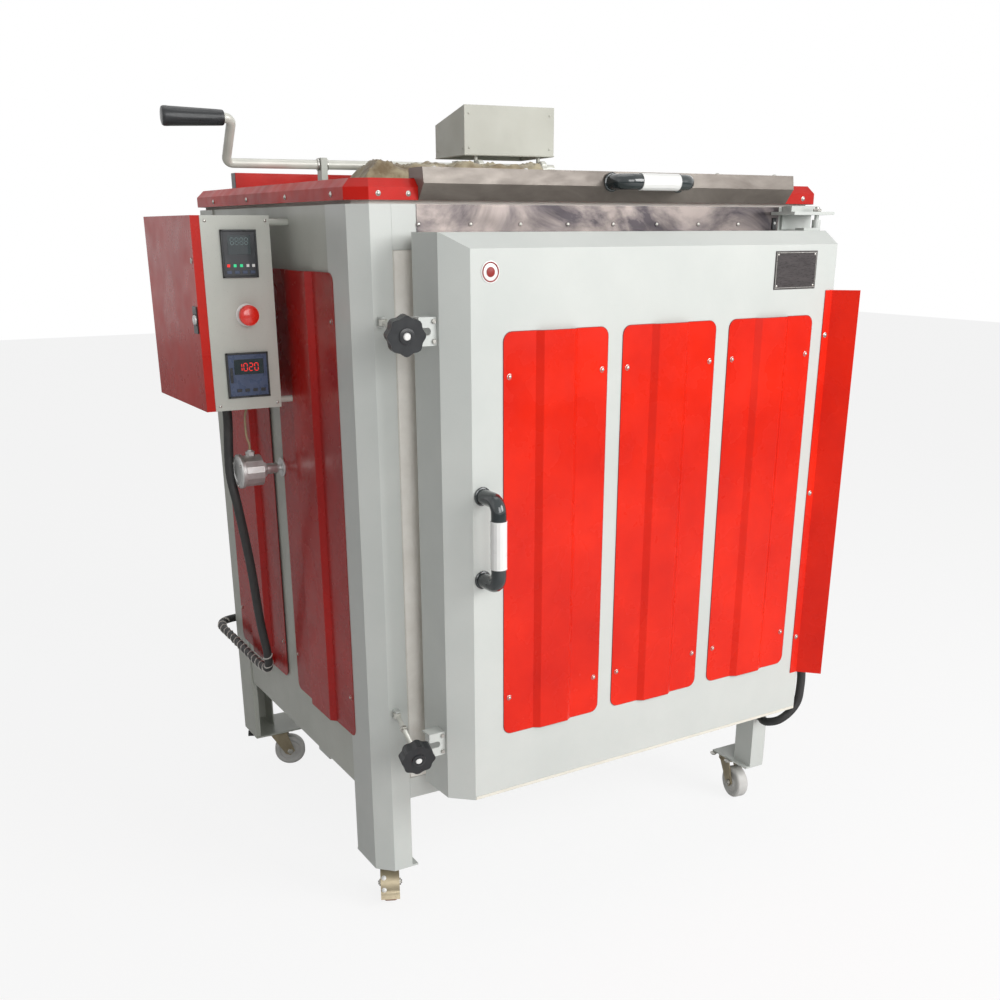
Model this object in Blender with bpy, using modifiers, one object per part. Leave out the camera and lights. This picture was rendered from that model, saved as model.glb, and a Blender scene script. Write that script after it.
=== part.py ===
"""Front-loading electric ceramic kiln on four casters, with a lift-up lid and a vent.

Metres, +Z up. X runs along the front, Y to the back. The front door faces -Y and
hangs on its right edge, and the control cabinet stands off the left side. The kiln
stands on z = 0, with its origin under the middle of its box.
"""
import math

import bmesh
import bpy
from mathutils import Matrix, Vector

for old in list(bpy.data.objects):
    bpy.data.objects.remove(old, do_unlink=True)

# Clearances and overruns shared by every piece
GAP = 0.0003
RUN = 0.0006
OVER = 0.002

# Body
BODY_W = 1.042
BODY_D = 0.888
BODY_TOP = 1.360
LEG_FOOT = 0.100
CORNER_CUT = 0.0295
SHEET = 0.002
CASING_END_Y = 0.040
LEG_SHEET = 0.003
LEG_SIDE = 0.120
LEG_FRONT = 0.069
LEG_LIP = 0.012
LEG_WEB = 0.058
PLATE_T = 0.004
PLATE_FRONT_W = 0.082
PLATE_REAR_W = 0.120
PLATE_D = 0.122
SKIRT_Z = 0.256
SILL_TOP = 0.300
TRAY_H = 0.008
BEAM_IN = 0.050
BEAM_W = 0.0655
BEAM_DROP = 0.069
BEAM_Y = 0.386

# Lining and chamber
WALL_T = 0.1244
BACK_T = 0.120
FLOOR_T = 0.094
LINTEL_Z = 1.288
LINTEL_D = 0.110
HEARTH_T = 0.018
HEARTH_MARGIN = 0.040
ELEMENT_R = 0.004
ELEMENT_LOW = 0.090
ELEMENT_PITCH = 0.130
ELEMENT_PASSES = 6
ELEMENT_FRONT = 0.055
ELEMENT_BEND = 0.020

# Bright band over the door
BAND_X0 = 0.1155
BAND_X1 = 0.925
BAND_Z0 = 1.2905
BAND_T = 0.0012
BAND_SCREWS = 8
BAND_SCREW_X = 0.1186
BAND_SCREW_PITCH = 0.1003
BAND_SCREW_Z = 1.328

# Raised red overlay panels and their screws
PANEL_T = 0.0012
PANEL_R = 0.016
SCREW_R = 0.0045
SCREW_H = 0.0022
SCREW_IN = 0.0115
SIDE_PANEL_W = 0.3154
SIDE_PANEL_Y = (0.1003, 0.4850)
SIDE_PANEL_Z0 = 0.366
SIDE_PANEL_Z1 = 1.249
SIDE_BAND_IN = 0.096
SIDE_BAND_SLOPE = 0.011
SIDE_BAND_H = 0.010
SIDE_SCREW_DOWN = 0.082
DOOR_PANEL_W = 0.218
DOOR_PANEL_PITCH = 0.2515
DOOR_PANEL_X = 0.0625
DOOR_PANEL_Z0 = 0.428
DOOR_PANEL_Z1 = 1.160
DOOR_BAND_IN = 0.0655
DOOR_BAND_SLOPE = 0.012
DOOR_BAND_H = 0.008
DOOR_SCREW_DOWN = 0.073
DOOR_PANELS = 3

# Front door
DOOR_X0 = 0.0893
DOOR_X1 = 0.9648
DOOR_Z0 = 0.306
DOOR_Z1 = 1.316
DOOR_FRONT = -0.1277
DOOR_BACK = -0.003
SIDE_BEVEL_W = 0.039
SIDE_BEVEL_D = 0.037
TOP_BEVEL_D = 0.035
TOP_BEVEL_H = 0.0245
DOOR_SHEET = 0.0018
DOOR_REST = 2.05
PLUG_DEPTH = 0.030
PLUG_GAP = 0.016
PLUG_TAPER = 0.010
HINGE_X = 0.982
HINGE_Y = -0.050
KNUCKLE_R = 0.0085
KNUCKLE_H = 0.020
PIN_R = 0.0045
LUG_T = 0.005
LUG_W = 0.024
LUG_L = 0.045
BRACKET_X0 = 0.905
BRACKET_X1 = 1.012
BRACKET_OUT = 0.068
BRACKET_T = 0.006
BRACKET_RISE = 0.029
WEB_X0 = 0.932
WEB_T = 0.004
BLOCK_D = 0.026
BLOCK_H = 0.011

# Bent guard along the hinge side of the door
WING_X = 0.814
WING_STRIP = 0.019
WING_L = 0.054
WING_ANGLE = 48.0
WING_Z0 = 0.396
WING_Z1 = 1.206
WING_T = 0.0015

# Pull handles
HANDLE_SPAN = 0.150
HANDLE_R = 0.0115
HANDLE_BEND = 0.020
SLEEVE_L = 0.084
SLEEVE_R = 0.0145
SLEEVE_BORE_SHARE = 1.5
DOOR_HANDLE_X = 0.0188
DOOR_HANDLE_Z = 0.814
DOOR_HANDLE_OUT = 0.054
LID_HANDLE_X = 0.5705
LID_HANDLE_Z = 1.3990
LID_HANDLE_OUT = 0.041

# Swing bolts, their star knobs and the catches on the door
BOLT_X = 0.0416
BOLT_OUT = 0.012
BOLT_PIN_R = 0.003
EAR_W = 0.0105
EAR_T = 0.003
EAR_GAP = 0.012
BOLT_R = 0.004
BOLT_L = 0.131
EYE_R = 0.0075
EYE_H = 0.0105
BOLT_SWING = -9.0
BOLT_Z = {"upper": 1.1725, "lower": 0.4470}
BOLT_DROOP = {"upper": 5.0, "lower": 15.0}
KNOB_AT = 0.118
KNOB_R = 0.0325
KNOB_LOBES = 8
KNOB_POINTS = 48
KNOB_LOBE = 0.0036
KNOB_L = 0.022
NECK_R = 0.013
NECK_L = 0.003
CATCH_T = 0.003
CATCH_X0 = 0.0560
CATCH_Y = -0.083
CATCH_H = 0.046
CATCH_FLANGE = 0.028
CATCH_SLOT_END = 0.0785
CATCH_SLOT_H = 0.0125

# Lid
LID_OVER = 0.004
LID_Z0 = 1.366
LID_SIDE_H = 0.020
LID_BEVEL = 0.014
LID_FLANGE = 0.045
LID_SHEET = 0.002
LID_PAD_IN = 0.012
LID_PLUG_Z = 1.322
LID_PLUG_GAP = 0.014
BAR_X0 = 0.070
BAR_X1 = 1.010
BAR_Y = 0.805
BAR_D = 0.028
BAR_Z1 = 1.437
LID_PIN_OUT = 0.013
LID_PIN_R = 0.004
LID_KNUCKLE_R = 0.0085
LID_KNUCKLE_W = 0.030
LID_EAR_W = 0.015
LID_HINGE_IN = 0.170
TRIM_X0 = 0.118
TRIM_X1 = 0.937
TRIM_T = 0.0012
TRIM_RIDGE_Y = -0.026
TRIM_RIDGE_Z = 1.392
TRIM_TOP_Y = -0.022
TRIM_TOP_Z = 1.417
TRIM_BACK_Y = 0.030

# Vent, its lifting cap, the crank that lifts it and the fibre blanket beside it.
# They are turned a little about the crank's elbow.
CRANK_X = -0.067
CRANK_Y = 0.435
CRANK_Z = 1.438
CRANK_TURN = -5.8
CRANK_L = 0.690
CRANK_R = 0.0065
CRANK_BEND = 0.014
CRANK_ARM = 0.106
CRANK_LEAN = 48.0
GRIP_IN = 0.012
GRIP_L = 0.112
GRIP_R0 = 0.0140
GRIP_R1 = 0.0170
PINION_R = 0.0153
PINION_W = 0.012
CAP_X = 0.4907
CAP_W = 0.2035
CAP_Y = 0.0063
CAP_D = 0.162
CAP_Z0 = 1.4615
CAP_Z1 = 1.5560
CAP_DROP = 0.028
CAP_SHEET = 0.0015
POST_R = 0.004
POST_IN = 0.030
POST_Z0 = 1.372
VENT_SIDE = 0.070
BEARING_AT = (0.187, 0.472)
BEARING_W = 0.012
BEARING_D = 0.030
BEARING_UP = 0.012
PAD_X0 = 0.225
PAD_X1 = 0.640
PAD_Y0 = -0.130
PAD_Y1 = -0.018
PAD_H = 0.040
PAD_LUMPS = 14
PAD_LUMP_SHARES = (0.80, 0.14, 0.06)
PAD_LUMP_WAVES = (1.9, 4.1)

# Control cabinet on the left side
CAB_X0 = -0.169
CAB_X1 = -0.040
CAB_Y0 = 0.2936
CAB_Y1 = 0.620
CAB_Z0 = 1.000
CAB_Z1 = 1.3445
CAB_SHEET = 0.0015
CAB_LIP = 0.008
CAB_DOOR_T = 0.0167
CAB_AXIS_OUT = 0.004
CAB_KNUCKLE_R = 0.0036
CAB_KNUCKLE_H = 0.022
CAB_KNUCKLE_IN = 0.050
CAB_LEAF = 0.016
CAB_POST_R = 0.006
CAB_POST_Y = 0.0205
CAB_POST_Z = 0.0115
BACKPLATE_T = 0.002
BACKPLATE_IN = 0.030
RAIL_H = 0.035
RAIL_T = 0.006
GEAR_D = 0.045
GEAR_W = 0.036
GEAR_H = 0.080
GEAR_PITCH = 0.042
GEAR_COUNT = 3
GEAR_Y = 0.440
GEAR_ROWS = (1.080, 1.220)
CONTROLLER_UPPER = (-0.1347, -0.0680, 1.2377, 1.3205)
CONTROLLER_LOWER = (-0.1432, -0.0620, 1.0225, 1.1050)
CONTROLLER_D = 0.060
CONTROLLER_OUT = 0.004
CONTROLLER_RIM = 0.003
BUTTON_X = -0.096
BUTTON_Z = 1.172
BUTTON_R = 0.018
BUTTON_H = 0.010
BUTTON_TRAVEL = 0.004
STEM_R = 0.009
STEM_L = 0.030
COLLAR_R = 0.0155
COLLAR_H = 0.005
GLAND_R = 0.014
GLAND_H = 0.016
LOCK_Y = 0.0184
LOCK_Z = 1.165
LOCK_R = 0.0065
LOCK_COLLAR_R = 0.0091
LOCK_OUT = 0.004
LOCK_CAM_L = 0.0145
LOCK_CAM_W = 0.010
LOCK_CAM_T = 0.002

# Thermocouple, its lead and the conduit
TC_Y = 0.4225
TC_Z = 0.857
SHEATH_R = 0.006
TC_TIP = 0.165
TC_HEAD_X0 = -0.088
TC_HEAD_X1 = -0.050
TC_HEAD_R = 0.032
TC_BOSS_R = 0.006
TC_BOSS_H = 0.010
LEAD_R = 0.0022
LEAD_BOSS_R = 0.005
LEAD_BOSS_H = 0.006
CONDUIT_R = 0.0095
CONDUIT_X = -0.100
CONDUIT_Y = 0.454
LOOP_R = 0.0095

# Casters
WHEEL_R = 0.039
WHEEL_W = 0.028
WHEEL_ROUND = 0.005
AXLE_R = 0.004
TRAIL = 0.030
RACE_R = 0.025
RACE_H = 0.007
RACE_FRONT = (0.056, 0.0875)
RACE_REAR = (0.068, 0.082)
FORK_T = 0.0025
FORK_SIDE = 0.0015
FORK_TOP_T = 0.004
FORK_NOSE = 0.012
FORK_LOW = 0.0072
FORK_BACK = 0.0175
PEDAL_L = 0.045
PEDAL_W = 0.030
PEDAL_T = 0.003
PEDAL_RISE = 0.002
PEDAL_PIN_R = 0.004
HEADING = {"front_left": -114.0, "front_right": -98.0, "rear_left": -19.0, "rear_right": 20.0}
BRAKED = ("front_left", "rear_left")

STEPS = 16
WHEEL_STEPS = 24
SMOOTH_ANGLE = 35.0

MODEL = bpy.data.collections.new("ceramic_kiln")
TOOLS = bpy.data.collections.new("cutters")
bpy.context.scene.collection.children.link(MODEL)
bpy.context.scene.collection.children.link(TOOLS)

# Colour, roughness and metallic value of each paint
PAINTS = {
    "grey": ((0.50, 0.53, 0.50), 0.45, 0.0),
    "red": ((0.75, 0.03, 0.015), 0.25, 0.0),
    "stainless": ((0.62, 0.60, 0.57), 0.2, 1.0),
    "zinc": ((0.60, 0.55, 0.42), 0.35, 1.0),
    "fibre": ((0.86, 0.82, 0.72), 0.95, 0.0),
    "wool": ((0.66, 0.55, 0.36), 0.95, 0.0),
    "brick": ((0.88, 0.84, 0.75), 0.9, 0.0),
    "black": ((0.02, 0.02, 0.025), 0.4, 0.0),
    "white": ((0.82, 0.82, 0.80), 0.35, 0.0),
    "rubber": ((0.03, 0.03, 0.03), 0.7, 0.0),
    "tyre": ((0.60, 0.60, 0.58), 0.5, 0.0),
    "steel": ((0.45, 0.45, 0.44), 0.35, 1.0),
    "cast": ((0.56, 0.56, 0.56), 0.45, 1.0),
    "dark": ((0.09, 0.09, 0.09), 0.6, 0.5),
    "button": ((0.85, 0.02, 0.02), 0.3, 0.0),
    "lead": ((0.45, 0.38, 0.25), 0.7, 0.0),
}


# Helpers that make meshes
def mesh_from(bm, name):
    bmesh.ops.recalc_face_normals(bm, faces=bm.faces)
    mesh = bpy.data.meshes.new(name)
    bm.to_mesh(mesh)
    bm.free()
    return mesh


def block(x0, x1, y0, y1, z0, z1):
    bm = bmesh.new()
    bmesh.ops.create_cube(bm, size=1.0)
    bmesh.ops.scale(bm, vec=(x1 - x0, y1 - y0, z1 - z0), verts=bm.verts)
    bmesh.ops.translate(bm, vec=((x0 + x1) / 2, (y0 + y1) / 2, (z0 + z1) / 2), verts=bm.verts)
    return mesh_from(bm, "block")


def rod(a, b, radius, end_radius=None, steps=STEPS):
    a = Vector(a)
    b = Vector(b)
    bm = bmesh.new()
    end_radius = radius if end_radius is None else end_radius
    bmesh.ops.create_cone(bm, cap_ends=True, segments=steps, radius1=radius,
                          radius2=end_radius, depth=(b - a).length)
    turn = (b - a).to_track_quat("Z", "Y").to_matrix().to_4x4()
    bmesh.ops.transform(bm, matrix=Matrix.Translation((a + b) / 2) @ turn, verts=bm.verts)
    return mesh_from(bm, "rod")


def hull(points):
    bm = bmesh.new()
    for point in points:
        bm.verts.new(point)
    bmesh.ops.convex_hull(bm, input=bm.verts)
    return mesh_from(bm, "hull")


def mesh_of_curve(curve):
    wire = bpy.data.objects.new("curve", curve)
    MODEL.objects.link(wire)
    bpy.context.view_layer.update()
    depsgraph = bpy.context.evaluated_depsgraph_get()
    mesh = bpy.data.meshes.new_from_object(wire.evaluated_get(depsgraph))
    bpy.data.objects.remove(wire, do_unlink=True)
    bm = bmesh.new()
    bm.from_mesh(mesh)
    bmesh.ops.remove_doubles(bm, verts=bm.verts, dist=GAP / 10)
    return bm


def tube(points, radius, resolution=2):
    curve = bpy.data.curves.new("tube", "CURVE")
    curve.dimensions = "3D"
    curve.bevel_depth = radius
    curve.bevel_resolution = resolution
    curve.use_fill_caps = True
    spline = curve.splines.new("POLY")
    spline.points.add(len(points) - 1)
    for knot, point in zip(spline.points, points):
        knot.co = (*point, 1.0)
    return mesh_from(mesh_of_curve(curve), "tube")


ACROSS = {
    "X": Matrix(((0, 0, 1, 0), (1, 0, 0, 0), (0, 1, 0, 0), (0, 0, 0, 1))),
    "Y": Matrix(((1, 0, 0, 0), (0, 0, 1, 0), (0, 1, 0, 0), (0, 0, 0, 1))),
    "Z": Matrix.Identity(4),
}


def prism(outline, axis, low, high):
    """A filled outline across an axis: (y, z) for X, (x, z) for Y, (x, y) for Z."""
    curve = bpy.data.curves.new("outline", "CURVE")
    curve.dimensions = "2D"
    curve.fill_mode = "BOTH"
    curve.extrude = (high - low) / 2
    spline = curve.splines.new("POLY")
    spline.points.add(len(outline) - 1)
    for knot, (u, v) in zip(spline.points, outline):
        knot.co = (u, v, 0.0, 1.0)
    spline.use_cyclic_u = True
    bm = mesh_of_curve(curve)
    lift = Matrix.Translation((0, 0, (low + high) / 2))
    bmesh.ops.transform(bm, matrix=ACROSS[axis] @ lift, verts=bm.verts)
    return mesh_from(bm, "prism")


def folded(path, thick):
    """Outline of sheet metal bent along a path; a positive sheet lies left of it."""
    points = [Vector(p) for p in path]
    ways = [(b - a).normalized() for a, b in zip(points, points[1:])]
    lefts = [Vector((-way.y, way.x)) for way in ways]
    far = [points[0] + lefts[0] * thick]
    for point, before, after in zip(points[1:], lefts, lefts[1:]):
        far.append(point + (before + after) * (thick / (1 + before.dot(after))))
    far.append(points[-1] + lefts[-1] * thick)
    return [tuple(p) for p in points + far[::-1]]


def rounded(u0, u1, v0, v1, radius, steps=3):
    out = []
    corners = ((u1 - radius, v0 + radius, -90), (u1 - radius, v1 - radius, 0),
               (u0 + radius, v1 - radius, 90), (u0 + radius, v0 + radius, 180))
    for u, v, start in corners:
        for k in range(steps + 1):
            angle = math.radians(start + 90 * k / steps)
            out.append((u + radius * math.cos(angle), v + radius * math.sin(angle)))
    return out


def joined(meshes):
    """Several meshes that stay clear of each other, as one."""
    bm = bmesh.new()
    for mesh in meshes:
        bm.from_mesh(mesh)
    return mesh_from(bm, "joined")


def bent(corners, radius, arc_steps=4):
    """Straight runs joined by round bends of one radius."""
    points = [Vector(c) for c in corners]
    out = [points[0]]
    for before, corner, after in zip(points, points[1:], points[2:]):
        came = (corner - before).normalized()
        goes = (after - corner).normalized()
        half = came.angle(goes) / 2
        start = corner - came * (radius * math.tan(half))
        centre = corner + (goes - came).normalized() * (radius / math.cos(half))
        end = corner + goes * (radius * math.tan(half))
        for k in range(arc_steps + 1):
            arm = (start - centre).slerp(end - centre, k / arc_steps)
            out.append(centre + arm.normalized() * radius)
    out.append(points[-1])
    return [tuple(p) for p in out]


def eased(knots, per_span):
    """Points of a smooth curve through the knots."""
    points = [Vector(k) for k in knots]
    points = [2 * points[0] - points[1]] + points + [2 * points[-1] - points[-2]]
    out = []
    for a, b, c, d in zip(points, points[1:], points[2:], points[3:]):
        for k in range(per_span):
            t = k / per_span
            out.append(0.5 * (2 * b + (c - a) * t + (2 * a - 5 * b + 4 * c - d) * t * t
                              + (3 * b - a - 3 * c + d) * t ** 3))
    out.append(points[-2])
    return [tuple(p) for p in out]


# Helpers that make objects
def part(name, paint, mesh, smooth=False):
    colour, rough, metal = PAINTS[paint]
    look = bpy.data.materials.new(name)
    look.use_nodes = True
    shader = look.node_tree.nodes["Principled BSDF"]
    shader.inputs["Base Color"].default_value = (*colour, 1.0)
    shader.inputs["Roughness"].default_value = rough
    shader.inputs["Metallic"].default_value = metal
    mesh.materials.clear()
    mesh.materials.append(look)
    if smooth:
        mesh.shade_smooth()
        mesh.set_sharp_from_angle(angle=math.radians(SMOOTH_ANGLE))
    obj = bpy.data.objects.new(name, mesh)
    MODEL.objects.link(obj)
    return obj


def turned(name, paint, profile, at, along):
    """A profile of (radius, height) points spun about an axis by a Screw modifier."""
    bm = bmesh.new()
    verts = [bm.verts.new((radius, 0, height)) for radius, height in profile]
    for a, b in zip(verts, verts[1:] + verts[:1]):
        bm.edges.new((a, b))
    mesh = bpy.data.meshes.new(name)
    bm.to_mesh(mesh)
    bm.free()
    obj = part(name, paint, mesh)
    spin = obj.modifiers.new("spin", "SCREW")
    spin.steps = WHEEL_STEPS
    spin.render_steps = WHEEL_STEPS
    spin.use_merge_vertices = True
    spin.merge_threshold = GAP / 10
    spin.use_smooth_shade = False
    turn = Vector(along).to_track_quat("Z", "Y").to_matrix().to_4x4()
    obj.matrix_world = Matrix.Translation(at) @ turn
    return obj


def combine(obj, meshes, operation, carrier=None):
    for mesh in meshes:
        other = bpy.data.objects.new(obj.name + "_" + operation.lower(), mesh)
        TOOLS.objects.link(other)
        other.hide_render = True
        other.display_type = "WIRE"
        if carrier:
            hang(carrier, other)
        step = obj.modifiers.new(other.name, "BOOLEAN")
        step.operation = operation
        step.object = other
        step.solver = "EXACT"


def weld(obj, *meshes, carrier=None):
    combine(obj, meshes, "UNION", carrier)


def cut(obj, *meshes, carrier=None):
    combine(obj, meshes, "DIFFERENCE", carrier)


def crop(obj, *meshes):
    combine(obj, meshes, "INTERSECT")


def joint(name, at, turn=(0.0, 0.0, 0.0), parent=None):
    """An empty on a joint's axis, turned to the rest pose."""
    empty = bpy.data.objects.new(name, None)
    empty.location = at
    empty.rotation_euler = [math.radians(angle) for angle in turn]
    empty["at"] = at
    MODEL.objects.link(empty)
    if parent:
        hang(parent, empty)
    return empty


def hang(empty, *objs):
    """Give the empty pieces that were modelled before its turn, tools included."""
    for obj in objs:
        obj.parent = empty
        obj.matrix_parent_inverse = Matrix.Translation(empty["at"]).inverted()
        for step in obj.modifiers:
            if step.type == "BOOLEAN" and step.object.parent is None:
                hang(empty, step.object)


ROOT_2 = math.sqrt(2)


def plan(inset, front=None):
    """The body's outline with its four cut corners, drawn in by an inset."""
    front = inset if front is None else front
    line = CORNER_CUT + inset * ROOT_2
    back = BODY_D - inset
    right = BODY_W - inset
    return [(line - front, front), (BODY_W - line + front, front), (right, line - inset),
            (right, BODY_D - line + inset), (BODY_W - line + inset, back),
            (line - inset, back), (inset, BODY_D - line + inset), (inset, line - inset)]


def ring(outline, z):
    return [(x, y, z) for x, y in outline]


# Corner posts: a bent sheet with a cut corner, a foot plate and a swivel race
def race_at(corner):
    rear, right = corner.startswith("rear"), corner.endswith("right")
    u, v = RACE_REAR if rear else RACE_FRONT
    return (BODY_W - u if right else u, BODY_D - v if rear else v)


def corner_post(corner):
    rear, right = corner.startswith("rear"), corner.endswith("right")

    def put(outline):
        return [(BODY_W - u if right else u, BODY_D - v if rear else v) for u, v in outline]

    bend = [(0, LEG_SIDE), (0, CORNER_CUT), (CORNER_CUT, 0), (LEG_FRONT, 0)]
    low = SKIRT_Z - GAP
    wide = PLATE_REAR_W if rear else PLATE_FRONT_W
    foot = [(0, PLATE_D), (0, CORNER_CUT), (CORNER_CUT, 0), (wide, 0), (wide, PLATE_D)]
    inner = LEG_SHEET / 2
    web = [(LEG_FRONT - LEG_SHEET, inner), (LEG_FRONT, inner), (LEG_FRONT, LEG_WEB),
           (LEG_FRONT - LEG_SHEET, LEG_WEB)]
    lip = [(inner, LEG_SIDE - LEG_SHEET), (LEG_LIP, LEG_SIDE - LEG_SHEET), (LEG_LIP, LEG_SIDE),
           (inner, LEG_SIDE)]
    post = part("leg_" + corner, "grey", prism(put(folded(bend, LEG_SHEET)), "Z", LEG_FOOT,
                                               BODY_TOP))
    x, y = race_at(corner)
    weld(post, prism(put(web), "Z", LEG_FOOT, low), prism(put(lip), "Z", LEG_FOOT, low),
         prism(put(foot), "Z", LEG_FOOT, LEG_FOOT + PLATE_T),
         rod((x, y, LEG_FOOT - RACE_H), (x, y, LEG_FOOT + PLATE_T / 2), RACE_R))
    return post


def bolt_ears(z):
    y = -BOLT_OUT
    ears = []
    for side in (-1, 1):
        near = z + side * EAR_GAP / 2
        far = near + side * EAR_T
        ears.append(block(BOLT_X - EAR_W / 2, BOLT_X + EAR_W / 2, y - EAR_W / 2, LEG_SHEET / 2,
                          min(near, far), max(near, far)))
    reach = EAR_GAP / 2 + EAR_T / 2
    pin = rod((BOLT_X, y, z - reach), (BOLT_X, y, z + reach), BOLT_PIN_R)
    return [joined(ears), pin]


BRACKET_BACK = -(GAP + BAND_T + GAP)
BRACKET_Z = {1: DOOR_Z1 + BRACKET_RISE, -1: DOOR_Z0 - BRACKET_RISE}


def hinge_bracket(side):
    """Plate, web and pin of the upper (1) or lower (-1) door hinge, on the right post."""
    near = BRACKET_Z[side]
    far = near + side * BRACKET_T
    door = DOOR_Z1 if side > 0 else DOOR_Z0
    tip = door + side * (LUG_T / 2)
    web_tip = door + side * OVER
    block_tip = far + side * BLOCK_H
    meshes = [
        block(BRACKET_X0, BRACKET_X1, -BRACKET_OUT, BRACKET_BACK, min(near, far), max(near, far)),
        block(WEB_X0, BRACKET_X1 - OVER, BRACKET_BACK - WEB_T, BRACKET_BACK,
              min(web_tip, near + side * OVER), max(web_tip, near + side * OVER)),
        block(WEB_X0 + OVER, BRACKET_X1 - OVER - WEB_T, BRACKET_BACK - BLOCK_D, BRACKET_BACK,
              min(far - side * OVER, block_tip), max(far - side * OVER, block_tip)),
        block(BODY_W - LEG_FRONT + OVER, BRACKET_X1 - OVER - WEB_T, BRACKET_BACK - WEB_T / 2,
              LEG_SHEET / 2, min(web_tip, near), max(web_tip, near)),
        rod((HINGE_X, HINGE_Y, tip), (HINGE_X, HINGE_Y, near + side * OVER), PIN_R),
    ]
    return meshes


posts = {corner: corner_post(corner) for corner in HEADING}
weld(posts["front_left"], *bolt_ears(BOLT_Z["upper"]), *bolt_ears(BOLT_Z["lower"]))
weld(posts["front_right"], *hinge_bracket(1), *hinge_bracket(-1))

# Casing: one sheet wrapped round the left, back and right, with the lid's hinge ears
CASING_IN = LEG_SHEET + GAP
LINING_IN = CASING_IN + SHEET + GAP
corners = plan(CASING_IN)
wrap = [(CASING_IN, CASING_END_Y), corners[6], corners[5], corners[4], corners[3],
        (BODY_W - CASING_IN, CASING_END_Y)]
casing = part("casing", "grey", prism(folded(wrap, -SHEET), "Z", SKIRT_Z, BODY_TOP))
LID_AXIS_Y = BODY_D + LID_PIN_OUT
LID_AXIS_Z = LID_Z0
for x in (LID_HINGE_IN, BODY_W - LID_HINGE_IN):
    ears = []
    seats = []
    for side in (-1, 1):
        near = x + side * (LID_KNUCKLE_W / 2 + GAP)
        far = near + side * LID_EAR_W
        low, high = min(near, far), max(near, far)
        ears.append(rod((low, LID_AXIS_Y, LID_AXIS_Z), (high, LID_AXIS_Y, LID_AXIS_Z),
                        LID_KNUCKLE_R))
        seats.append(block(low, high, BODY_D - CASING_IN - SHEET / 2, LID_AXIS_Y,
                           BODY_TOP - LID_KNUCKLE_W, BODY_TOP))
    reach = LID_KNUCKLE_W / 2 + LID_EAR_W / 2
    weld(casing, joined(seats), joined(ears),
         rod((x - reach, LID_AXIS_Y, LID_AXIS_Z), (x + reach, LID_AXIS_Y, LID_AXIS_Z),
             LID_PIN_R))
cut(casing, rod((-OVER, TC_Y, TC_Z), (LINING_IN + OVER, TC_Y, TC_Z), SHEATH_R + RUN))

FRONT_IN = LEG_FRONT + GAP
part("front_lintel", "grey",
     block(FRONT_IN, BODY_W - FRONT_IN, 0, LEG_SHEET, LINTEL_Z, BODY_TOP))
band = part("lintel_band", "stainless",
            block(BAND_X0, BAND_X1, -GAP - BAND_T, -GAP, BAND_Z0, BODY_TOP))
heads = [rod((BAND_SCREW_X + k * BAND_SCREW_PITCH, -GAP - BAND_T / 2, BAND_SCREW_Z),
             (BAND_SCREW_X + k * BAND_SCREW_PITCH, -GAP - BAND_T - SCREW_H / 2, BAND_SCREW_Z),
             SCREW_R, steps=STEPS // 2) for k in range(BAND_SCREWS)]
weld(band, joined(heads))

# Base tray with a channel under it and a front sill, then the lining on it
TRAY_TOP = SKIRT_Z + TRAY_H
CHAMBER_X0 = LINING_IN + WALL_T
CHAMBER_X1 = BODY_W - CHAMBER_X0
CHAMBER_Y1 = BODY_D - LINING_IN - BACK_T
FLOOR_Z = TRAY_TOP + GAP + FLOOR_T
tray = part("base_tray", "grey", prism(plan(LINING_IN, CASING_IN), "Z", SKIRT_Z, TRAY_TOP))
weld(tray, block(BEAM_IN, BODY_W - BEAM_IN, BEAM_Y, BEAM_Y + BEAM_W, SKIRT_Z - BEAM_DROP,
                 SKIRT_Z + TRAY_H / 2),
     block(FRONT_IN, BODY_W - FRONT_IN, LEG_SHEET / 2, LEG_WEB / 2, SKIRT_Z + TRAY_H / 4,
           TRAY_TOP - TRAY_H / 4),
     block(FRONT_IN, BODY_W - FRONT_IN, 0, LEG_SHEET, SKIRT_Z, SILL_TOP))

lining = part("chamber_lining", "fibre",
              prism(plan(LINING_IN, CASING_IN), "Z", TRAY_TOP + GAP, BODY_TOP - GAP))
hollow = [(CASING_IN - OVER, FLOOR_Z), (CHAMBER_Y1, FLOOR_Z), (CHAMBER_Y1, BODY_TOP + OVER),
          (LINTEL_D, BODY_TOP + OVER), (LINTEL_D, LINTEL_Z), (CASING_IN - OVER, LINTEL_Z)]
cut(lining, prism(hollow, "X", CHAMBER_X0, CHAMBER_X1))
cut(lining, rod((0, TC_Y, TC_Z), (CHAMBER_X0 + OVER, TC_Y, TC_Z), SHEATH_R + RUN))
part("hearth_plate", "brick", block(CHAMBER_X0 + HEARTH_MARGIN, CHAMBER_X1 - HEARTH_MARGIN,
                                    PLUG_DEPTH + HEARTH_MARGIN, CHAMBER_Y1 - HEARTH_MARGIN,
                                    FLOOR_Z + GAP, FLOOR_Z + GAP + HEARTH_T))

# Heating element: one rod that winds back and forth along the chamber's walls
ELEMENT_OFF = ELEMENT_R + GAP
run = []
for k in range(ELEMENT_PASSES):
    z = FLOOR_Z + ELEMENT_LOW + k * ELEMENT_PITCH
    turns = [(CHAMBER_X0 + ELEMENT_OFF, ELEMENT_FRONT, z),
             (CHAMBER_X0 + ELEMENT_OFF, CHAMBER_Y1 - ELEMENT_OFF, z),
             (CHAMBER_X1 - ELEMENT_OFF, CHAMBER_Y1 - ELEMENT_OFF, z),
             (CHAMBER_X1 - ELEMENT_OFF, ELEMENT_FRONT, z)]
    run += turns if k % 2 == 0 else turns[::-1]
part("heating_element", "dark", tube(bent(run, ELEMENT_BEND, 3), ELEMENT_R, 1), smooth=True)


# Side panels: pressed sheets with a raised band, on both sides
def raised(start, wide, band_in, slope, rise):
    end = start + wide
    return [(start, 0), (start + band_in, 0), (start + band_in + slope, rise),
            (end - band_in - slope, rise), (end - band_in, 0), (end, 0)]


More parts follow.
